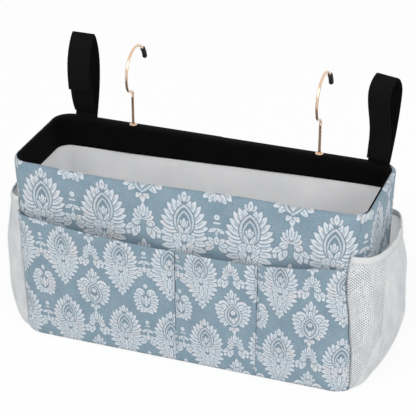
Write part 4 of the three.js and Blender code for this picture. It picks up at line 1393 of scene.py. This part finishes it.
def build_hook(side):
    name = f"{side.label}_hook"
    place = Vector((side.hook_x, HOOK_Y, 0))

    # The wire's head stands under its sleeve
    edge = HEAD_RADIUS - HEAD_EDGE
    head = [(0, edge), (HEAD_EDGE, HEAD_RADIUS), (HEAD_HEIGHT - HEAD_EDGE, HEAD_RADIUS)]
    head += [(HEAD_HEIGHT, edge), (HEAD_HEIGHT + MM / 10, WIRE)]
    wire = wire_path()[len(head) - 1 :]
    path = [Vector((0, HEAD_BOTTOM + z)) for z, _ in head] + wire
    radii = [radius for _, radius in head] + [WIRE] * len(wire)
    round_tube(f"{side.label}_wire", path, radii, place, rose_gold, name, "rose_gold", f"{name}_wire")

    # The cap has a small lip at its mouth and a round end
    start = CROOK_END + TIP_DEPTH / CROOK
    end = CROOK_END - (TIP_LENGTH - TIP_DEPTH) / CROOK
    full = TIP_RADIUS - TIP_EDGE
    rows = [(start, WIRE + TIP_EDGE)] + [(start + turn, TIP_RADIUS + step) for turn, step in TIP_LIP]
    rows += [(turn, full) for turn in spread(start - TIP_LIP_TURN, end, 10)]
    for lift in spread(0, QUARTER, 8)[1:]:
        rows.append((end - TIP_RADIUS / CROOK * math.sin(lift), max(TIP_EDGE, full * math.cos(lift))))
    path = [crook_point(turn) for turn, _ in rows]
    radii = [radius for _, radius in rows]
    round_tube(f"{side.label}_tip", path, radii, place, rubber, name, "black_rubber", f"{name}_tip")


# Stitches
def stitch_spots(line):
    """Where each stitch of a line of (point, outward) pairs stands, with its directions."""
    spots = []
    travelled = 0.0
    next_at = 0.0
    for (a, normal), (b, _) in zip(line, line[1:]):
        step = (b - a).length
        while next_at <= travelled + step and step > 0:
            spots.append((a.lerp(b, (next_at - travelled) / step), (b - a).normalized(), normal))
            next_at += STITCH_PITCH
        travelled += step
    return spots


def add_stitch(work, point, along, out):
    """One small rounded stitch."""
    side = along.cross(out).normalized()
    rings = []
    for share, size in STITCH_RING_SHARES:
        middle = point + along * (share * STITCH / 2) + out * (THREAD * (0.9 * size - 0.5))
        ring = []
        for turn in spread(0, 2 * math.pi, STITCH_SIDES)[:-1]:
            away = side * math.cos(turn) + out * math.sin(turn)
            ring.append(work.verts.new(middle + away * THREAD * size))
        rings.append(ring)
    for near, far in zip(rings, rings[1:]):
        for part in range(STITCH_SIDES):
            after = (part + 1) % STITCH_SIDES
            work.faces.new((near[part], near[after], far[after], far[part]))
    work.faces.new(list(reversed(rings[0])))
    work.faces.new(rings[-1])


def stitches(name, line, look, slot):
    """Small rounded stitches along a line of (point, outward) pairs."""
    work = bmesh.new()
    for point, along, out in stitch_spots(line):
        add_stitch(work, point, along, out)
    bmesh.ops.recalc_face_normals(work, faces=work.faces)
    mesh = bpy.data.meshes.new(name)
    work.to_mesh(mesh)
    work.free()
    mesh.uv_layers.new(name="cloth")
    new_piece(name, mesh, look, "root", slot)


def spot(point_at, u, v, behind, ahead, half):
    """A point of a surface with its outward direction, from its slopes across and up."""
    across = point_at(u + ahead, v) - point_at(u - behind, v)
    up = point_at(u, v + half) - point_at(u, v - half)
    return point_at(u, v), across.cross(up).normalized()


def wall_spots(places):
    point = cloth_point()
    step = MM / 2
    return [spot(lambda s, z: point(s, Row(z, z)), s, z, step, step, step) for s, z in places]


def pocket_spot(pocket, u, v, behind=0.003, ahead=0.003):
    return spot(lambda *at: pocket_pair(pocket, *at)[0], u, v, behind, ahead, 0.004)


def binding_spot(side, share):
    height = net_height(share) - BINDING_HEIGHT + BINDING_STITCH_HEIGHT
    here = net_point(side, share, height, BINDING_STITCH_OUT)
    across = net_point(side, share + 0.004, height, BINDING_STITCH_OUT) - here
    up = net_point(side, share, height + MM, BINDING_STITCH_OUT) - here
    return here, across.cross(up).normalized() * side.sign


def build_pocket_stitches(pocket):
    """A line under the mouth, and one beside each seam that isn't the front corner's."""
    hem = []
    for u in spread(0.012, 0.988, 160):
        point, out = pocket_spot(pocket, u, 1 - POCKET_HEM / pocket_mouth(pocket, u))
        hem.append((point - out * HEM_STITCH_SINK, out))
    stitches(f"{pocket.label}_pocket_hem_stitches", hem, thread_blue, "printed_cloth")
    inset = SIDE_STITCH_INSET / (pocket.end - pocket.start)
    for end, edge, u in (("left", pocket.start, inset), ("right", pocket.end, 1 - inset)):
        if abs(edge) != FRONT_SEAM:
            line = [pocket_spot(pocket, u, v) for v in spread(0.03, 0.98, 120)]
            stitches(f"{pocket.label}_pocket_{end}_stitches", line, thread_blue, "printed_cloth")


def build_tab_stitches(side):
    """Box and cross stitching through the back cloth, over the hidden tab."""
    half = WEBBING_WIDTH / 2 - TAB_STITCH_MARGIN
    high = BODY_HEIGHT - TAB_STITCH_TOP
    low = high - TAB_STITCH_HEIGHT
    middle = side.sign * max(HALF_ROUND - abs(side.strap_x), BACK_START - TAB_CORNER_GAP)
    left, right = middle - half, middle + half
    corners = [(left, low), (right, low), (right, high), (left, high), (left, low), (right, high)]
    corners += [(left, high), (right, low)]
    places = []
    for (a, b), (c, d) in zip(corners, corners[1:]):
        places += [(lerp(a, c, share), lerp(b, d, share)) for share in shares(24)[:-1]]
    stitches(f"{side.label}_tab_stitches", wall_spots(places + corners[-1:]), thread_dark, "black_cloth")


def build_stitches():
    rim = [(s, BODY_HEIGHT - RIM_STITCH_DEPTH) for s in spread(-BACK_SEAM, BACK_SEAM, 400)]
    stitches("rim_stitches", wall_spots(rim), thread_blue, "printed_cloth")
    for pocket in POCKETS:
        build_pocket_stitches(pocket)
    # Dark stitches down the pen pocket's seam with the right net: partly real thread, partly painted shade,
    # as their dark thread deepens the dark line of shade along that seam.
    last = POCKETS[-1]
    u = 1 - SEAM_STITCH_INSET / (last.end - last.start)
    seam = [pocket_spot(last, u, v, behind=0.01, ahead=0.0) for v in spread(0.02, 0.97, 160)]
    stitches("seam_stitches_and_shade", seam, thread_dark, "printed_cloth")
    for side in SIDES:
        line = [binding_spot(side, share) for share in spread(0.01, 0.99, 160)]
        stitches(f"{side.label}_binding_stitches", line, thread_pale, "white_binding")
        build_tab_stitches(side)


# Camera, floor and light
def build_camera():
    back = Vector((math.sin(YAW) * math.cos(PITCH), -math.cos(YAW) * math.cos(PITCH), math.sin(PITCH)))
    right = Vector((math.cos(YAW), math.sin(YAW), 0))
    up = back.cross(right)
    place = Vector((0, 0, LOOK_HEIGHT)) + back * CAMERA_DISTANCE + right * CAMERA_RIGHT + up * CAMERA_UP
    data = bpy.data.cameras.new("camera")
    data.sensor_width = SENSOR
    data.lens = LENS
    camera = bpy.data.objects.new("camera", data)
    turn = Matrix((right, up, back)).transposed().to_4x4()
    camera.matrix_world = Matrix.Translation(place) @ turn
    bpy.context.scene.collection.objects.link(camera)
    bpy.context.scene.camera = camera


def seen_straight(graph):
    """1 where a surface is seen by the camera, in a reflection or through a clear piece."""
    rays = graph.add("ShaderNodeLightPath").outputs
    seen = graph.math("MAXIMUM", rays["Is Camera Ray"], rays["Is Glossy Ray"])
    return graph.math("MAXIMUM", seen, rays["Is Transmission Ray"])


def build_floor():
    """A pale floor that looks white to the camera and keeps a soft shadow."""
    mesh = bpy.data.meshes.new("floor")
    corners = [(-1, -1), (1, -1), (1, 1), (-1, 1)]
    mesh.from_pydata([(x * FLOOR_HALF, y * FLOOR_HALF, -FLOOR_GAP) for x, y in corners], [], [(0, 1, 2, 3)])
    floor = bpy.data.objects.new("floor", mesh)
    bpy.context.scene.collection.objects.link(floor)
    made = bpy.data.materials.new("floor")
    made.use_nodes = True
    made.node_tree.nodes.clear()
    graph = Graph(made.node_tree)
    cloth = graph.add("ShaderNodeBsdfDiffuse", {"Color": (0.96, 0.96, 0.96, 1)}).outputs[0]
    glow = graph.add("ShaderNodeEmission", {"Color": (1, 1, 1, 1), "Strength": 1.0}).outputs[0]
    factor = graph.math("MULTIPLY", seen_straight(graph), FLOOR_GLOW_SHARE)
    mixed = graph.add("ShaderNodeMixShader", {0: factor, 1: cloth, 2: glow}).outputs[0]
    graph.add("ShaderNodeOutputMaterial", {"Surface": mixed})
    mesh.materials.append(made)


def build_world():
    world = bpy.data.worlds.new("studio")
    bpy.context.scene.world = world
    world.use_nodes = True
    world.node_tree.nodes.clear()
    graph = Graph(world.node_tree)
    soft = graph.add("ShaderNodeBackground", {"Color": (1, 1, 1, 1), "Strength": WORLD_STRENGTH}).outputs[0]
    white = graph.add("ShaderNodeBackground", {"Color": (1, 1, 1, 1), "Strength": 1.0}).outputs[0]
    mixed = graph.add("ShaderNodeMixShader", {0: seen_straight(graph), 1: soft, 2: white}).outputs[0]
    graph.add("ShaderNodeOutputWorld", {"Surface": mixed})


def area_light(name, place, power):
    data = bpy.data.lights.new(name, "AREA")
    data.shape = "DISK"
    data.size = LIGHT_SIZE
    data.energy = power
    light = bpy.data.objects.new(name, data)
    light.location = place
    aim = Vector((0, 0, LOOK_HEIGHT)) - Vector(place)
    light.rotation_euler = aim.to_track_quat("-Z", "Y").to_euler()
    bpy.context.scene.collection.objects.link(light)


def build_stage():
    build_floor()
    build_world()
    for name, (place, power) in LIGHTS.items():
        area_light(name, place, power)
    bpy.context.scene.view_settings.view_transform = "Standard"


def dress_cad_nodes():
    """Hidden boards and the hooks' metal parts keep their CAD shape."""
    looks = {"back_stiffener": board, "base_board": grey_board}
    for side in SIDES:
        looks[f"{side.label}_side_stiffener"] = board
        looks[f"{side.label}_hook_eyelet"] = rose_gold
        for part in ("bracket", "rivet_1", "rivet_2"):
            looks[f"{side.label}_hook_{part}"] = steel
    for name, look in looks.items():
        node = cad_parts[name]
        node.data.materials.clear()
        node.data.materials.append(look)


build_camera()
build_stage()
build_shell()
build_bottom()
build_lining()
build_facing()
build_front_board()
for pocket in POCKETS:
    build_pocket(pocket)
for side in SIDES:
    build_net(side)
    build_binding(side)
    build_strap(side)
    build_closure(side)
    build_hook(side)
build_stitches()
dress_cad_nodes()

bpy.context.view_layer.update()
